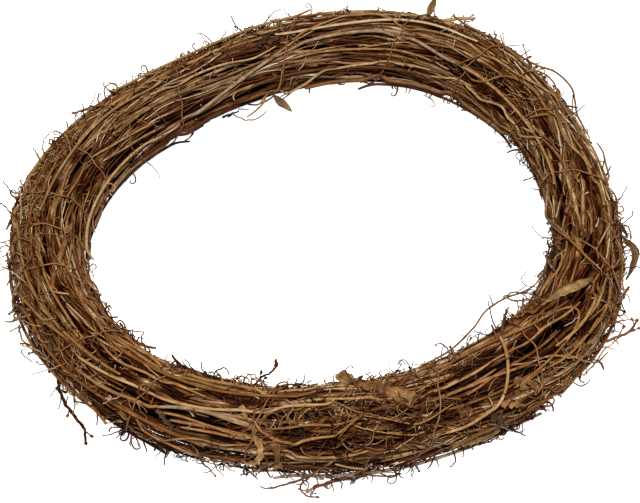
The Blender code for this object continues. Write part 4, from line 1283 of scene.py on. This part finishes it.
# Mm round the bundle for a degree of the bundle angle out at the blades, how far from a blade its
# press is felt in mm, the room under it, and how fast its press and the wire's fade with distance
UNDER_BUNDLE_MM = 0.34
UNDER_REACH = 25.0
UNDER_ROOM = 0.5 * MM
UNDER_FADE = 0.25 * MM
WIRE_FADE = 0.05 * MM


def settle(angle, reach, bundle, radius, wire=True):
    """Reach of a vine pressed in under the wire and the blades that lie over it."""
    if wire:
        under = WIRE_OUT * swell_at(angle, bundle) + WIRE_RISE - WIRE / 2 - radius
        away = wire_distance(angle, bundle)
        reach = softer_min(reach, under + WIRE_FADE * away ** 2)
    for half_width, middle in BLADE_COURSES:
        turned = turn_between(angle[:, None], middle[None, :, 0])
        around = turn_between(bundle[:, None], middle[None, :, 1])
        away = np.hypot(turned / DEGREES_PER_MM, around * UNDER_BUNDLE_MM)
        if away.min() > UNDER_REACH:
            continue
        clear = np.maximum(away - (half_width + radius) / MM - 0.4, 0.0)
        under = middle[None, :, 2] - radius - UNDER_ROOM + UNDER_FADE * clear ** 2
        reach = softer_min(reach, under.min(axis=1))
    return reach


BLADES = (
    ("narrow_leaf", "dry_leaf", 2.6 * MM, 0.25, "leaf",
     ((327.4, 0.5, 64), (324.3, 0.5, 78), (321.5, 0.5, 91), (318.8, 0.5, 101), (315.8, 0.7, 109))),
    ("edge_leaf", "dry_leaf", 2.2 * MM, 0.25, "leaf",
     ((345, 0.3, 13), (342.9, 3, 11), (340.5, 6.5, 7), (336.2, 3.4, -13))),
    ("low_leaf", "dry_leaf", 2.4 * MM, 0.2, "leaf",
     ((285.5, 0.3, -18), (290, 0.3, -15), (294, 0.3, -14), (298, 1.2, -15))),
    ("top_leaf", "dry_leaf", 2.0 * MM, 0.2, "leaf",
     ((61, 0.5, 42), (61.2, 6, 33), (61.4, 12, 26), (61.6, 17, 22))),
    ("hole_leaf", "dry_leaf", 2.2 * MM, 0.15, "leaf",
     ((97.8, 0.5, 210), (96.5, 4.5, 211), (95, 8, 212), (93.6, 12, 212))),
    ("bark_strip", "dry_bark", 3.2 * MM, -0.12, "strip",
     ((269.4, 5.5, 143), (272, 1.4, 137), (275, 0.6, 118), (277.5, 0.5, 101), (280, 0.5, 84),
      (282, 0.7, 72))),
    ("bark_curl", "dry_bark", 2.0 * MM, 0.5, "strip",
     ((257, 1.6, 32), (257, 0.6, 18), (257, 0.6, 2), (257, 1.8, -13))),
)
BLADE_BASE = OUTER_CANE / 2 + GAP


def blade_courses():
    """For each blade, its half width and the places it lies over: ring and bundle angle, reach."""
    found = []
    for _, _, half_width, _, _, knots in BLADES:
        rows = dense(knots, 1.0)
        reach = OUTER_OUT * swell_at(rows[:, 0], rows[:, 2]) + BLADE_BASE + rows[:, 1] * MM
        found.append((half_width, np.stack((rows[:, 0], rows[:, 2], reach), axis=-1)))
    return found


BLADE_COURSES = blade_courses()


BLADE_ROOM = 0.2 * MM


def blade(piece, rng, path, facing, widths, fold, thickness, tint, torn, rows):
    """A thin closed blade along a path: folded at its midrib, rippled, with a torn edge."""
    n = len(path)
    along = unit(np.gradient(path, axis=0))
    normal = unit(facing - along * np.sum(facing * along, axis=1, keepdims=True))
    side = np.cross(along, normal)
    across = np.linspace(-1, 1, rows)
    length = lengths_along(path)
    x = length / MM
    left = widths * (1 + wander(rng, x, 5.0, torn))
    right = widths * (1 + wander(rng, x, 4.0, torn))
    ripple = wander(rng, x, 7.0, 0.35 * MM)
    reach = np.where(across[None, :] < 0, left[:, None], right[:, None]) * across[None, :]
    bend = fold * np.abs(across)[None, :] ** 1.5 * widths[:, None]
    bend = bend + ripple[:, None] * np.abs(across)[None, :] ** 2 * np.sign(across)[None, :]
    vein = 0.12 * MM * np.cos(across * math.pi * 3)[None, :] * np.ones((n, 1))
    middle = path[:, None, :] + side[:, None, :] * reach[..., None]
    middle = middle + normal[:, None, :] * (bend + vein)[..., None]
    half = thickness / 2 * (1 - 0.6 * np.abs(across) ** 3)
    top = middle + normal[:, None, :] * half[None, :, None]
    low = middle - normal[:, None, :] * half[None, :, None]
    points = np.concatenate((top.reshape(-1, 3), low.reshape(-1, 3)))
    keep_above(points, BLADE_ROOM)
    size = n * rows
    faces, uvs = [], []

    def add_face(spots, lower, turned):
        """A face through spots of the blade's grid, each on its upper or its lower side."""
        order = slice(None, None, -1 if turned else 1)
        corners = [i * rows + j + size * under for (i, j), under in zip(spots, lower)]
        faces.append(tuple(corners[order]))
        uvs.extend([((across[j] + 1) / 2, length[i]) for i, j in spots][order])

    for i in range(n - 1):
        for j in range(rows - 1):
            spots = ((i, j), (i, j + 1), (i + 1, j + 1), (i + 1, j))
            add_face(spots, (0, 0, 0, 0), False)
            add_face(spots, (1, 1, 1, 1), True)
    for i in range(n - 1):
        for j in (0, rows - 1):
            add_face(((i, j), (i + 1, j), (i + 1, j), (i, j)), (0, 0, 1, 1), j > 0)
    for i in (0, n - 1):
        for j in range(rows - 1):
            add_face(((i, j), (i, j), (i, j + 1), (i, j + 1)), (0, 1, 1, 0), i > 0)
    piece.add(points, faces, np.array(uvs), tint)


BLADE_LEANS = {"bark_strip": 0.5, "bark_curl": 0.3, "edge_leaf": 1.3, "low_leaf": 0.4,
               "hole_leaf": 1.2, "top_leaf": 0.8}
LEANING = np.array((0.0, -1.0, 1.0))
LEAF_BRIGHTNESS = {"edge_leaf": 0.27, "top_leaf": 0.45, "hole_leaf": 0.45, "narrow_leaf": 0.64}
# Thicknesses of scraps and flakes, leaves and bark, and the radius of a leaf's midrib
THIN = 0.3 * MM
LEAF_THICK = 0.35 * MM
BARK_THICK = 0.6 * MM
MIDRIB = 0.22 * MM


# Scraps of leaf and bark that can be told apart: slot, half width in mm, place in its colours,
# brightness, how torn, and distance and pixels as for the canes
SCRAP_DEPTH = 1.7
SCRAPS = (
    ("dry_bark", 1.3, 0.4, 0.7, 0.3, 18.2, ((268, 42), (276, 36), (285, 29))),
    ("dry_leaf", 1.4, 0.2, 0.55, 0.3, 18, ((352, 24), (355, 18), (358, 12))),
    ("dry_bark", 2.3, 0.45, 0.8, 0.1, 18.6, ((77, 394), (83, 400), (89, 406))),
    ("dry_leaf", 2.4, 0.15, 0.5, 0.25, 18.4, ((494, 418), (503, 421), (515, 424))),
    ("dry_bark", 1.7, 0.75, 1.1, 0.2, 18.6, ((501, 404), (512, 405), (526, 407))),
    ("dry_bark", 1.9, 0.7, 1, 0.2, 18.6, ((517, 377), (522, 383), (528, 390))),
    ("dry_bark", 1.2, 0.6, 0.9, 0.25, 18.6, ((527, 379), (533, 384), (540, 391))),
    ("dry_bark", 1.2, 0.2, 0.7, 0.3, 17.8, ((224, 119), (232, 117), (240, 114))),
    ("dry_bark", 1.2, 0.2, 0.7, 0.3, 17.8, ((451, 97), (456, 101), (462, 106))),
    ("dry_bark", 1.4, 0.8, 1.05, 0.1, 18.8, ((253, 437), (258, 446), (260, 456), (256, 464), (248, 467),
     (240, 462))),
    ("dry_bark", 1.3, 0.15, 0.75, 0.15, 18.2, ((155, 409), (163, 420), (172, 432))),
    ("dry_bark", 1.1, 0.5, 0.9, 0.2, 18.4, ((115, 412), (120, 417), (126, 422))),
    ("dry_bark", 1.2, 0.7, 0.95, 0.2, 18.6, ((240, 404), (243, 411), (246, 419))),
    ("dry_bark", 1, 0.65, 0.95, 0.2, 18.6, ((325, 399), (332, 402), (338, 404))),
    ("dry_leaf", 1.3, 0.3, 0.7, 0.2, 18.4, ((430, 437), (437, 441), (445, 443))),
    ("dry_leaf", 1.6, 0.6, 0.85, 0.1, 18.2, ((466, 447), (480, 443), (494, 438), (501, 431))),
    ("dry_bark", 1.2, 0.35, 0.8, 0.25, 18.6, ((383, 404), (388, 408), (393, 414))),
    ("dry_leaf", 1.2, 0.3, 0.6, 0.25, 18, ((622, 226), (628, 231), (631, 238))),
    ("dry_bark", 1.5, 0.1, 0.6, 0.3, 17.9, ((258, 45), (266, 36), (272, 29))),
)


def lay_scraps():
    """The scraps of leaf and bark that can be told apart, one piece for each slot."""
    pieces = Gathered()
    for number, (slot, half_width, hue, bright, torn, distance, pixels) in enumerate(SCRAPS):
        rng = random.Random("scrap" + str(number))
        piece = pieces.piece("scraps_of_", slot)
        rows = dense(seen_places(pixels, distance), SHOOT_STEP)
        path = places(rows[:, 0], LOOSE_OUT, rows[:, 2], (rows[:, 1] - SCRAP_DEPTH) * MM)
        facing = unit(outward(rows[:, 0], rows[:, 2]) + LEANING * rng.uniform(0.2, 0.9))
        widths = half_width * MM * np.sin(math.pi * np.linspace(0.12, 0.95, len(path)) ** 0.8) ** 0.7
        tint = (hue - 0.2, bright * 0.8, 0.0, rng.random() * 9)
        blade(piece, rng, path, facing, widths, rng.uniform(0.2, 0.6), THIN, tint, torn + 0.3, 9)
    pieces.make()


def lay_blades():
    """The dry leaves and bark, as in the solids but thin, veined and torn."""
    for name, slot, half_width, fold, kind, knots in BLADES:
        rng = random.Random(name)
        rows = dense(knots, 0.7)
        path = places(rows[:, 0], OUTER_OUT, rows[:, 2], BLADE_BASE + rows[:, 1] * MM)
        facing = unit(outward(rows[:, 0], rows[:, 2]) + LEANING * BLADE_LEANS.get(name, 0.0))
        t = np.linspace(0, 1, len(path))
        piece = Piece(name + "_blade", slot, name)
        if kind == "leaf":
            widths = half_width * np.maximum(0.06, np.sin(math.pi * t ** 0.85))
            tint = (rng.uniform(0.35, 0.7), LEAF_BRIGHTNESS.get(name, 0.95), 0.0, rng.random() * 9)
            blade(piece, rng, path, facing, widths, fold, LEAF_THICK, tint, 0.01, 11)
            vine(piece, rng, path + facing * 0.1 * MM, MIDRIB, 5, 1.5, tint, (1.0, 0.4), 90.0, 0.0)
        else:
            widths = half_width * (0.85 + 0.25 * np.cos(2 * math.pi * t))
            tint = (0.4, 0.8, 0.0, 3.0)
            blade(piece, rng, path, facing, widths, fold, BARK_THICK, tint, 0.12, 15)
        piece.make()


def scatter(add, rows):
    """Make the pieces of some rows, each with its count of random shapes; see the tables below."""
    for name, slot, count, *rest in rows:
        rng = random.Random(name)
        piece = Piece(name, slot)
        for _ in range(count):
            add(piece, rng, *rest)
        piece.make()


def course(rng, length, angle, bundle, slope):
    """The way a sheaf of vines takes: mm along it, ring angles and bundle angles."""
    x = np.arange(0.0, length + 1.0)
    turned = x * DEGREES_PER_MM * rng.choice((-1, 1))
    around = bundle + slope * turned + wander(rng, x, 150.0, 5.0) + wander(rng, x, 50.0, 1.1)
    return x, angle + turned, around


def top_angle(rng):
    """A bundle angle, more often on the upper half than underneath."""
    return 90.0 + rng.gauss(0, 1) * 62.0 if rng.random() < 0.75 else rng.uniform(0, 360)


# Many more vines fill the bundle in sheaves that lie side by side: name, slot, how many sheaves,
# most vines in one, radius range in mm, length range in mm, depth range in mm, steepness of the
# slope, height of sprung ends in mm, and the tint's lower bound
# The two deep sheaves take the darker barks, a painted shade seen through the gaps between the vines above
FILLS = (
    ("deep_dark", "vine_dark", 30, 4, (0.6, 1.1), (150, 400), (11.2, 13.0), 0.7, 0.0, 0.0),
    ("deep_brown", "vine_brown", 24, 4, (0.6, 1.0), (150, 420), (12.0, 13.8), 0.6, 0.0, 0.0),
    ("tight_brown", "vine_brown", 46, 4, (0.4, 0.9), (160, 460), (13.4, 15.0), 0.55, 0.0, 0.0),
    ("tight_tan", "vine_tan", 50, 4, (0.4, 0.9), (160, 480), (13.4, 15.2), 0.5, 0.0, 0.0),
    ("tight_grey", "vine_grey", 22, 3, (0.4, 0.9), (100, 300), (13.4, 15.0), 0.6, 0.0, 0.0),
    ("slack_tan", "vine_tan", 40, 2, (0.3, 0.65), (70, 300), (14.6, 15.7), 0.9, 3.5, 0.1),
    ("slack_brown", "vine_brown", 42, 2, (0.3, 0.65), (60, 260), (14.6, 15.7), 1.0, 3.5, 0.1),
    ("slack_grey", "vine_grey", 26, 2, (0.3, 0.6), (50, 200), (14.8, 15.9), 1.1, 4.5, 0.1),
)
# From which radius on a sheaf's vine is drawn with six sides instead of five
SHEAF_THICK = 0.65 * MM


def add_sheaf(piece, rng, most, radii, lengths, depths, steep, spring, low):
    """Vines side by side in a sheaf, pressed in under the wire and the blades."""
    length = rng.uniform(*lengths)
    x, angle, middle = course(rng, length, rng.uniform(0, 360), top_angle(rng),
                              rng.gauss(0, 1) * steep)
    beside = 0.0
    for _ in range(rng.randint(1, most)):
        radius = rng.uniform(*radii) * MM
        depth = rng.uniform(*depths) * MM
        beside += radius
        bundle = middle + np.degrees(beside / (depth * 1.1)) + wander(rng, x, 70.0, 1.2)
        beside += radius + rng.uniform(0.0, 0.6) * MM
        reach = depth * swell_at(angle, bundle) + wander(rng, x, 80.0, 0.4 * MM)
        cut = rng.uniform(0.0, 0.3), 1 - rng.uniform(0.0, 0.3)
        keep = (x >= cut[0] * length) & (x <= cut[1] * length)
        here, at, reach, bundle = x[keep], angle[keep], reach[keep], bundle[keep]
        reach = settle(at, reach, bundle, radius) - HOLLOW_DEPTH * hollow(at, bundle)
        for far in (here - here[0], here[-1] - here):
            height = spring * rng.random() ** 2 * MM
            bent = min(rng.uniform(10.0, 26.0), here[-1] * 0.4)
            reach = reach + height * np.clip(1 - far / bent, 0.0, 1.0) ** 1.8
        path = places(at, 0.0, bundle, reach)
        sides = 6 if radius > SHEAF_THICK else 5
        # Painted shade: the bark is painted darker the deeper the vine lies and in the hollows
        vine(piece, rng, path, radius, sides, 4.4, random_tint(rng, low, 1.0), (0.75, 0.6),
             60.0, 0.25, 0.08, depth_shade(at, reach, bundle))


# Fine growth: name, slot, how many, bundle angle and its spread, whether it keeps to the outline
# that the photo shows, ring angle range, length range in mm, radius range in mm, and most turns
GROWTHS = (
    ("curls_brown", "vine_brown", 90, 100, 75, 0, (0, 360), (4, 14), (0.24, 0.40), 1.3),
    ("curls_grey", "vine_grey", 60, 70, 95, 0, (0, 360), (4, 16), (0.24, 0.38), 1.2),
    ("curls_tan", "vine_tan", 40, 70, 80, 0, (0, 360), (4, 14), (0.22, 0.40), 1.0),
    ("front_curls", "vine_dark", 60, 40, 46, 0, (264, 345), (5, 18), (0.22, 0.38), 1.6),
    ("left_curls", "vine_brown", 36, 45, 45, 0, (150, 228), (8, 22), (0.22, 0.40), 1.7),
    ("left_loops", "vine_tan", 28, 45, 40, 0, (150, 232), (10, 26), (0.22, 0.40), 1.8),
    ("hole_curls", "vine_dark", 150, 178, 16, 1, (235, 345), (3, 11), (0.20, 0.34), 1.8),
    ("under_curls", "vine_dark", 120, 2, 18, 1, (228, 302), (4, 12), (0.22, 0.40), 1.4),
    ("rim_curls", "vine_brown", 100, 4, 20, 1, (298, 355), (5, 14), (0.22, 0.40), 1.0),
    ("hole_knots", "vine_dark", 40, 168, 12, 1, (200, 262), (5, 11), (0.26, 0.40), 2.4),
    ("front_web", "vine_dark", 50, 52, 22, 0, (262, 290), (8, 22), (0.24, 0.38), 1.8),
    ("edge_curls", "vine_dark", 110, 4, 14, 1, (95, 228), (5, 14), (0.30, 0.46), 2.2),
    ("top_curls", "vine_dark", 50, 2, 14, 1, (20, 105), (3, 8), (0.26, 0.42), 1.4),
    ("far_curls", "vine_dark", 60, 178, 12, 1, (2, 66), (3, 9), (0.24, 0.38), 1.8),
    ("upper_curls", "vine_brown", 70, 42, 20, 0, (98, 178), (6, 17), (0.26, 0.44), 2.0),
)


# How far round the bundle the outline leans at the back, and how near to it a place is at it, in
# degrees; there the growth is shorter and thicker
OUTLINE_LEAN = 45.0
OUTLINE_NEAR = 35.0
OUTLINE_SHORTER = 0.55
OUTLINE_THICKER = 1.35


def outline_lean(angle):
    """How far round the bundle its outline in the photo's view lies from its outer side."""
    return OUTLINE_LEAN * math.sin(math.radians(angle))


def near_outline(angle, bundle):
    """Whether a place is near either side of the outline in the photo's view."""
    off = (bundle - outline_lean(angle)) % 180.0
    return min(off, 180.0 - off) < OUTLINE_NEAR


# How far out curls are rooted, in mm
CURL_ROOTS = (14.8, 16.4)


def add_curl(piece, rng, middle, spread, keeps, span, lengths, radii, turns):
    """A thin curled shoot."""
    angle = rng.uniform(*span)
    bundle = middle + rng.gauss(0, 0.6) * spread + keeps * outline_lean(angle)
    root = places(angle, rng.uniform(*CURL_ROOTS) * MM, bundle)
    facing = outward(angle, bundle)
    along = along_ring(angle)
    reach = unit(facing * rng.uniform(0.1, 0.9) + along * rng.uniform(-1.0, 1.0))
    length = rng.uniform(*lengths) * (0.6 + 0.8 * rng.random() ** 2) * MM
    twirl = turns * rng.random() ** 1.5
    radius = rng.uniform(*radii) * MM
    if piece.slot != "vine_dark" and near_outline(angle, bundle):
        length = length * OUTLINE_SHORTER
        radius = radius * OUTLINE_THICKER
    tendril(piece, rng, root, reach, along, length, twirl, radius, random_tint(rng))


# Tendrils that creep over the vines: the same first eight, then the radius range in mm, how
# strongly they turn, and how far their heading strays from the ring's in radians
CREEPERS = (
    ("creepers_brown", "vine_brown", 110, 95, 75, 0, (0, 360), (8, 50), (0.20, 0.40), 0.8, 0.45),
    ("creepers_tan", "vine_tan", 90, 90, 75, 0, (0, 360), (8, 60), (0.20, 0.40), 0.6, 0.4),
    ("creepers_grey", "vine_grey", 60, 80, 80, 0, (0, 360), (8, 44), (0.18, 0.36), 0.9, 0.6),
    ("creepers_front", "vine_brown", 90, 50, 36, 0, (250, 288), (10, 44), (0.20, 0.34), 0.9, 0.8),
    ("creepers_web", "vine_brown", 60, 50, 40, 0, (248, 290), (14, 56), (0.24, 0.40), 0.6, 0.7),
    ("creepers_rim", "vine_tan", 110, 16, 24, 1, (285, 350), (8, 40), (0.20, 0.36), 1.1, 0.8),
    ("creepers_edge", "vine_brown", 80, 8, 20, 1, (285, 350), (8, 40), (0.20, 0.38), 1.1, 0.8),
    ("creepers_left", "vine_brown", 64, 45, 36, 0, (145, 230), (8, 44), (0.22, 0.40), 1.2, 0.9),
    ("creepers_knots", "vine_tan", 36, 40, 36, 0, (145, 230), (8, 36), (0.22, 0.38), 1.4, 0.9),
    ("creepers_back", "vine_brown", 70, 8, 18, 1, (20, 190), (8, 36), (0.24, 0.40), 1.1, 0.7),
    ("creepers_under", "vine_dark", 60, 4, 14, 1, (190, 300), (8, 36), (0.24, 0.40), 1.1, 0.7),
    ("creepers_upper", "vine_tan", 56, 44, 22, 0, (98, 178), (10, 34), (0.26, 0.44), 1.3, 0.9),
)


# How far out the creepers lie in mm, as a usual reach and as a range of depths; the shares of them
# that lie over the wire and that fork; a fork's thickness; and how far their ends spring up in mm
CREEP_OUT = 19.0
CREEP_DEPTHS = (15.2, 16.5)
CREEP_OVER = 0.35
CREEP_FORKED = 0.45
FORK_SLIM = 0.75
CREEP_SPRING = 2.6


def creep(rng, start, heading, length, depth, bend):
    """Where a creeping tendril goes: mm along it, ring angles, reaches and bundle angles."""
    x = np.linspace(0.0, length, max(6, int(length / 1.2)))
    heading = heading + wander(rng, x, 26.0, 0.7 * bend) + rng.gauss(0, 0.8) * bend * x / 20.0
    stride = x[1] - x[0]
    turned, around = (np.concatenate(([0.0], np.cumsum(way(heading[:-1])))) * stride
                      for way in (np.cos, np.sin))
    angle = start[0] + turned * DEGREES_PER_MM
    bundle = start[1] + np.degrees(around / CREEP_OUT)
    reach = (depth * swell_at(angle, bundle) + wander(rng, x, 22.0, 0.6)) * MM
    return x, angle, reach, bundle, heading


def add_creeper(piece, rng, middle, spread, keeps, span, lengths, radii, bend, strays):
    """A thin tendril that wanders, and may fork, over the vines."""
    length = rng.uniform(*lengths) * (0.4 + 0.6 * rng.random())
    radius = rng.uniform(*radii) * MM
    start = [rng.uniform(*span), middle + rng.gauss(0, 0.6) * spread]
    start[1] += keeps * outline_lean(start[0])
    heading = rng.gauss(0, strays) + rng.choice((0.0, math.pi))
    depth = rng.uniform(*CREEP_DEPTHS)
    over = rng.random() < CREEP_OVER
    tint = random_tint(rng, 0.2, 0.8)
    ways = [(creep(rng, start, heading, length, depth, bend), radius)]
    if rng.random() < CREEP_FORKED:
        x, angle, reach, bundle, headings = ways[0][0]
        fork = rng.randrange(len(x) // 4, len(x) - 2)
        turn = rng.choice((-1, 1)) * rng.uniform(0.4, 1.0)
        shoot = creep(rng, (angle[fork], bundle[fork]), headings[fork] + turn,
                      length * rng.uniform(0.2, 0.55), depth, bend)
        shoot[2][:] += reach[fork] - shoot[2][0]
        ways.append((shoot, radius * FORK_SLIM))
    for (x, angle, reach, bundle, headings), thick in ways:
        reach = settle(angle, reach, bundle, thick, not over)
        reach = reach + rng.random() ** 3 * CREEP_SPRING * MM * (x / x[-1]) ** 2
        inside = hollow(angle, bundle)
        path = places(angle, 0.0, bundle, reach - HOLLOW_DEPTH * inside)
        keep_above(path, thick + FLOOR_ROOM)
        tints = np.tile(tint, (len(path), 1))
        # Painted shade: a creeper lying in a hollow is painted darker
        tints[:, 1] *= 1 - HOLLOW_PAINTED_SHADE * inside
        tube(piece, path, thick * (1 - 0.25 * x / x[-1]), 4, tints)


# Short stiff ends that stand off the bundle: name, slot, how many, bundle angle and its spread,
# and whether they keep to the outline that the photo shows
SPURS = (
    ("spurs_brown", "vine_brown", 70, 70, 80, 0),
    ("spurs_tan", "vine_tan", 36, 60, 80, 0),
    ("spurs_grey", "vine_grey", 36, 50, 80, 0),
    ("spurs_edge", "vine_dark", 50, 4, 14, 1),
    ("spurs_hole", "vine_dark", 24, 176, 12, 1),
)


SPUR_OUT = 15.6 * MM
SPUR_RADII = (0.28, 0.6)
SPUR_BUDDED = 0.3


def add_spur(piece, rng, middle, spread, keeps):
    """A broken side shoot that points along the ring and a little outward, at times with a bud."""
    angle = rng.uniform(0, 360)
    bundle = middle + rng.gauss(0, 0.8) * spread + keeps * outline_lean(angle)
    root = places(angle, SPUR_OUT, bundle)
    facing = outward(angle, bundle)
    along = along_ring(angle) * rng.choice((-1, 1))
    side = np.cross(facing, along)
    way = unit(along + facing * rng.uniform(0.1, 0.8) + side * rng.uniform(-0.5, 0.5))
    length = (3.0 + 9.0 * rng.random() ** 2) * MM
    radius = rng.uniform(*SPUR_RADII) * MM
    t = np.linspace(0, 1, 6)[:, None]
    bend = (facing * rng.uniform(-0.35, 0.25) + side * rng.uniform(-0.3, 0.3)) * length
    path = root + way * length * t + bend * t ** 2
    keep_above(path, radius + FLOOR_ROOM)
    tint = random_tint(rng)
    tube(piece, path, radius * (1 - 0.35 * t[:, 0]), 5, tint)
    if rng.random() < SPUR_BUDDED:
        lean = unit(path[-1] - path[-2])
        bud(piece, path[-1], lean, radius * BUD_LONG, radius * BUD_WIDE, tint)


def clear_of_blades(angle, bundle, room):
    """Whether a place is further than room, in mm, from the middles of the leaves and bark."""
    for _, middle in BLADE_COURSES:
        turned = turn_between(angle, middle[:, 0])
        around = turn_between(bundle, middle[:, 1])
        if np.hypot(turned / DEGREES_PER_MM, around * BUNDLE_MM).min() < room:
            return False
    return True


# Flakes: name, slot, how many, size range in mm, and how torn; then how far from a blade's middle
# they stay and how far out they lie in mm, and their length and half width as shares of their size
FLAKES = (
    ("bark_scraps", "dry_bark", 110, (1.2, 3.4), 0.25),
    ("leaf_scraps", "dry_leaf", 46, (1.2, 3.0), 0.30),
)
FLAKE_ROOM = 7.0
FLAKE_OUT = (14.8, 16.8)
FLAKE_LONG = 2.2
FLAKE_HALF = 0.36


def add_flake(piece, rng, sizes, torn):
    """A scrap of bark or leaf caught between the vines."""
    angle = rng.uniform(0, 360)
    bundle = top_angle(rng)
    facing = outward(angle, bundle)
    along = along_ring(angle)
    side = np.cross(facing, along)
    way = unit(along + side * rng.uniform(-0.8, 0.8) + facing * rng.uniform(-0.1, 0.45))
    length = rng.uniform(*sizes) * FLAKE_LONG * MM
    root = places(angle, rng.uniform(*FLAKE_OUT) * MM, bundle)
    t = np.linspace(0, 1, 9)
    arch = rng.uniform(-0.1, 0.25) * length
    path = root + way * length * t[:, None] + facing * (arch * np.sin(math.pi * t))[:, None]
    outline = np.maximum(0.25, np.sin(math.pi * (0.1 + 0.8 * t)))
    widths = rng.uniform(*sizes) * FLAKE_HALF * MM * outline
    facing = unit(facing + side * rng.uniform(-0.7, 0.7))
    fold = rng.uniform(-0.3, 0.5)
    hue, bright, age, seed = random_tint(rng)
    tint = (0.6 * hue, 0.75 * bright, age, seed)
    if clear_of_blades(angle, bundle, FLAKE_ROOM) and hollow(angle, bundle) < 0.3:
        facing = np.broadcast_to(facing, path.shape)
        blade(piece, rng, path, facing, widths, fold, THIN, tint, torn, 5)


# The floor is lit from below as well, like a light table, so the wreath's shadow stays faint
FLOOR_TONES = ((0.16, 0.16, 0.16), (0.18, 0.18, 0.18))
FLOOR_GLOW = 0.72


FLOOR_HALF = 4.0
SKY_COLOUR = (1.0, 0.77, 0.50, 1.0)
SKY_STRENGTH = 0.72
LIGHT_COLOUR = (0.92, 0.98, 1.0)
LIGHT_AIM = (0.0, 0.0, 0.02)
# Each light's name, place, width and power
LIGHTS = (
    ("key", (0.03, -0.76, 1.22), 0.36, 52.5),
    ("fill", (0.0, 0.8, 1.2), 0.8, 5.0),
)


def set_floor():
    """A plain pale floor."""
    data = bpy.data.meshes.new("floor")
    low, high = -FLOOR_HALF, FLOOR_HALF
    data.from_pydata([(low, low, 0), (high, low, 0), (high, high, 0), (low, high, 0)], [], [(0, 1, 2, 3)])
    floor = bpy.data.objects.new("floor", data)
    made = Finish("pale_floor", *FLOOR_SHEEN)
    made.feed(made.shader.inputs["Base Color"], made.ramp(made.patches(*FLOOR_CLOUD), FLOOR_TONES))
    made.shader.inputs["Emission Color"].default_value = (1.0, 1.0, 1.0, 1.0)
    made.shader.inputs["Emission Strength"].default_value = FLOOR_GLOW
    data.materials.append(made.material)
    bpy.context.scene.collection.objects.link(floor)


def set_light():
    """Soft warm light from all round, and a key and a fill light."""
    world = bpy.data.worlds.new("studio")
    world.use_nodes = True
    sky = world.node_tree.nodes["Background"]
    sky.inputs["Color"].default_value = SKY_COLOUR
    sky.inputs["Strength"].default_value = SKY_STRENGTH
    bpy.context.scene.world = world
    for name, at, size, power in LIGHTS:
        light = bpy.data.lights.new(name, "AREA")
        light.shape = "DISK"
        light.size = size
        light.energy = power
        light.color = LIGHT_COLOUR
        lamp = bpy.data.objects.new(name, light)
        lamp.location = at
        lamp.rotation_mode = "QUATERNION"
        away = mathutils.Vector(at) - mathutils.Vector(LIGHT_AIM)
        lamp.rotation_quaternion = away.to_track_quat("Z", "Y")
        bpy.context.scene.collection.objects.link(lamp)
    bpy.context.scene.view_settings.view_transform = "Standard"
    bpy.context.scene.view_settings.look = "High Contrast"


def set_camera():
    """The camera at the photo's place."""
    eye, right, up, back = camera_frame()
    lens = bpy.data.cameras.new("photo_view")
    lens.lens = CAMERA_LENS
    lens.sensor_width = CAMERA_SENSOR
    lens.clip_start, lens.clip_end = CAMERA_CLIP
    camera = bpy.data.objects.new("photo_view", lens)
    rows = mathutils.Matrix((right, up, back)).transposed().to_4x4()
    camera.matrix_world = mathutils.Matrix.Translation(eye) @ rows
    bpy.context.scene.collection.objects.link(camera)
    bpy.context.scene.camera = camera


wind_layers()
wind_wire()
for cane_row in LOOSE_LANES:
    lay_loose_cane(*cane_row)
bow_canes()
lay_seen_canes()
lay_shoots()
lay_blades()
lay_scraps()
scatter(add_sheaf, FILLS)
scatter(add_curl, GROWTHS)
scatter(add_creeper, CREEPERS)
scatter(add_spur, SPURS)
scatter(add_flake, FLAKES)
set_floor()
set_light()
set_camera()
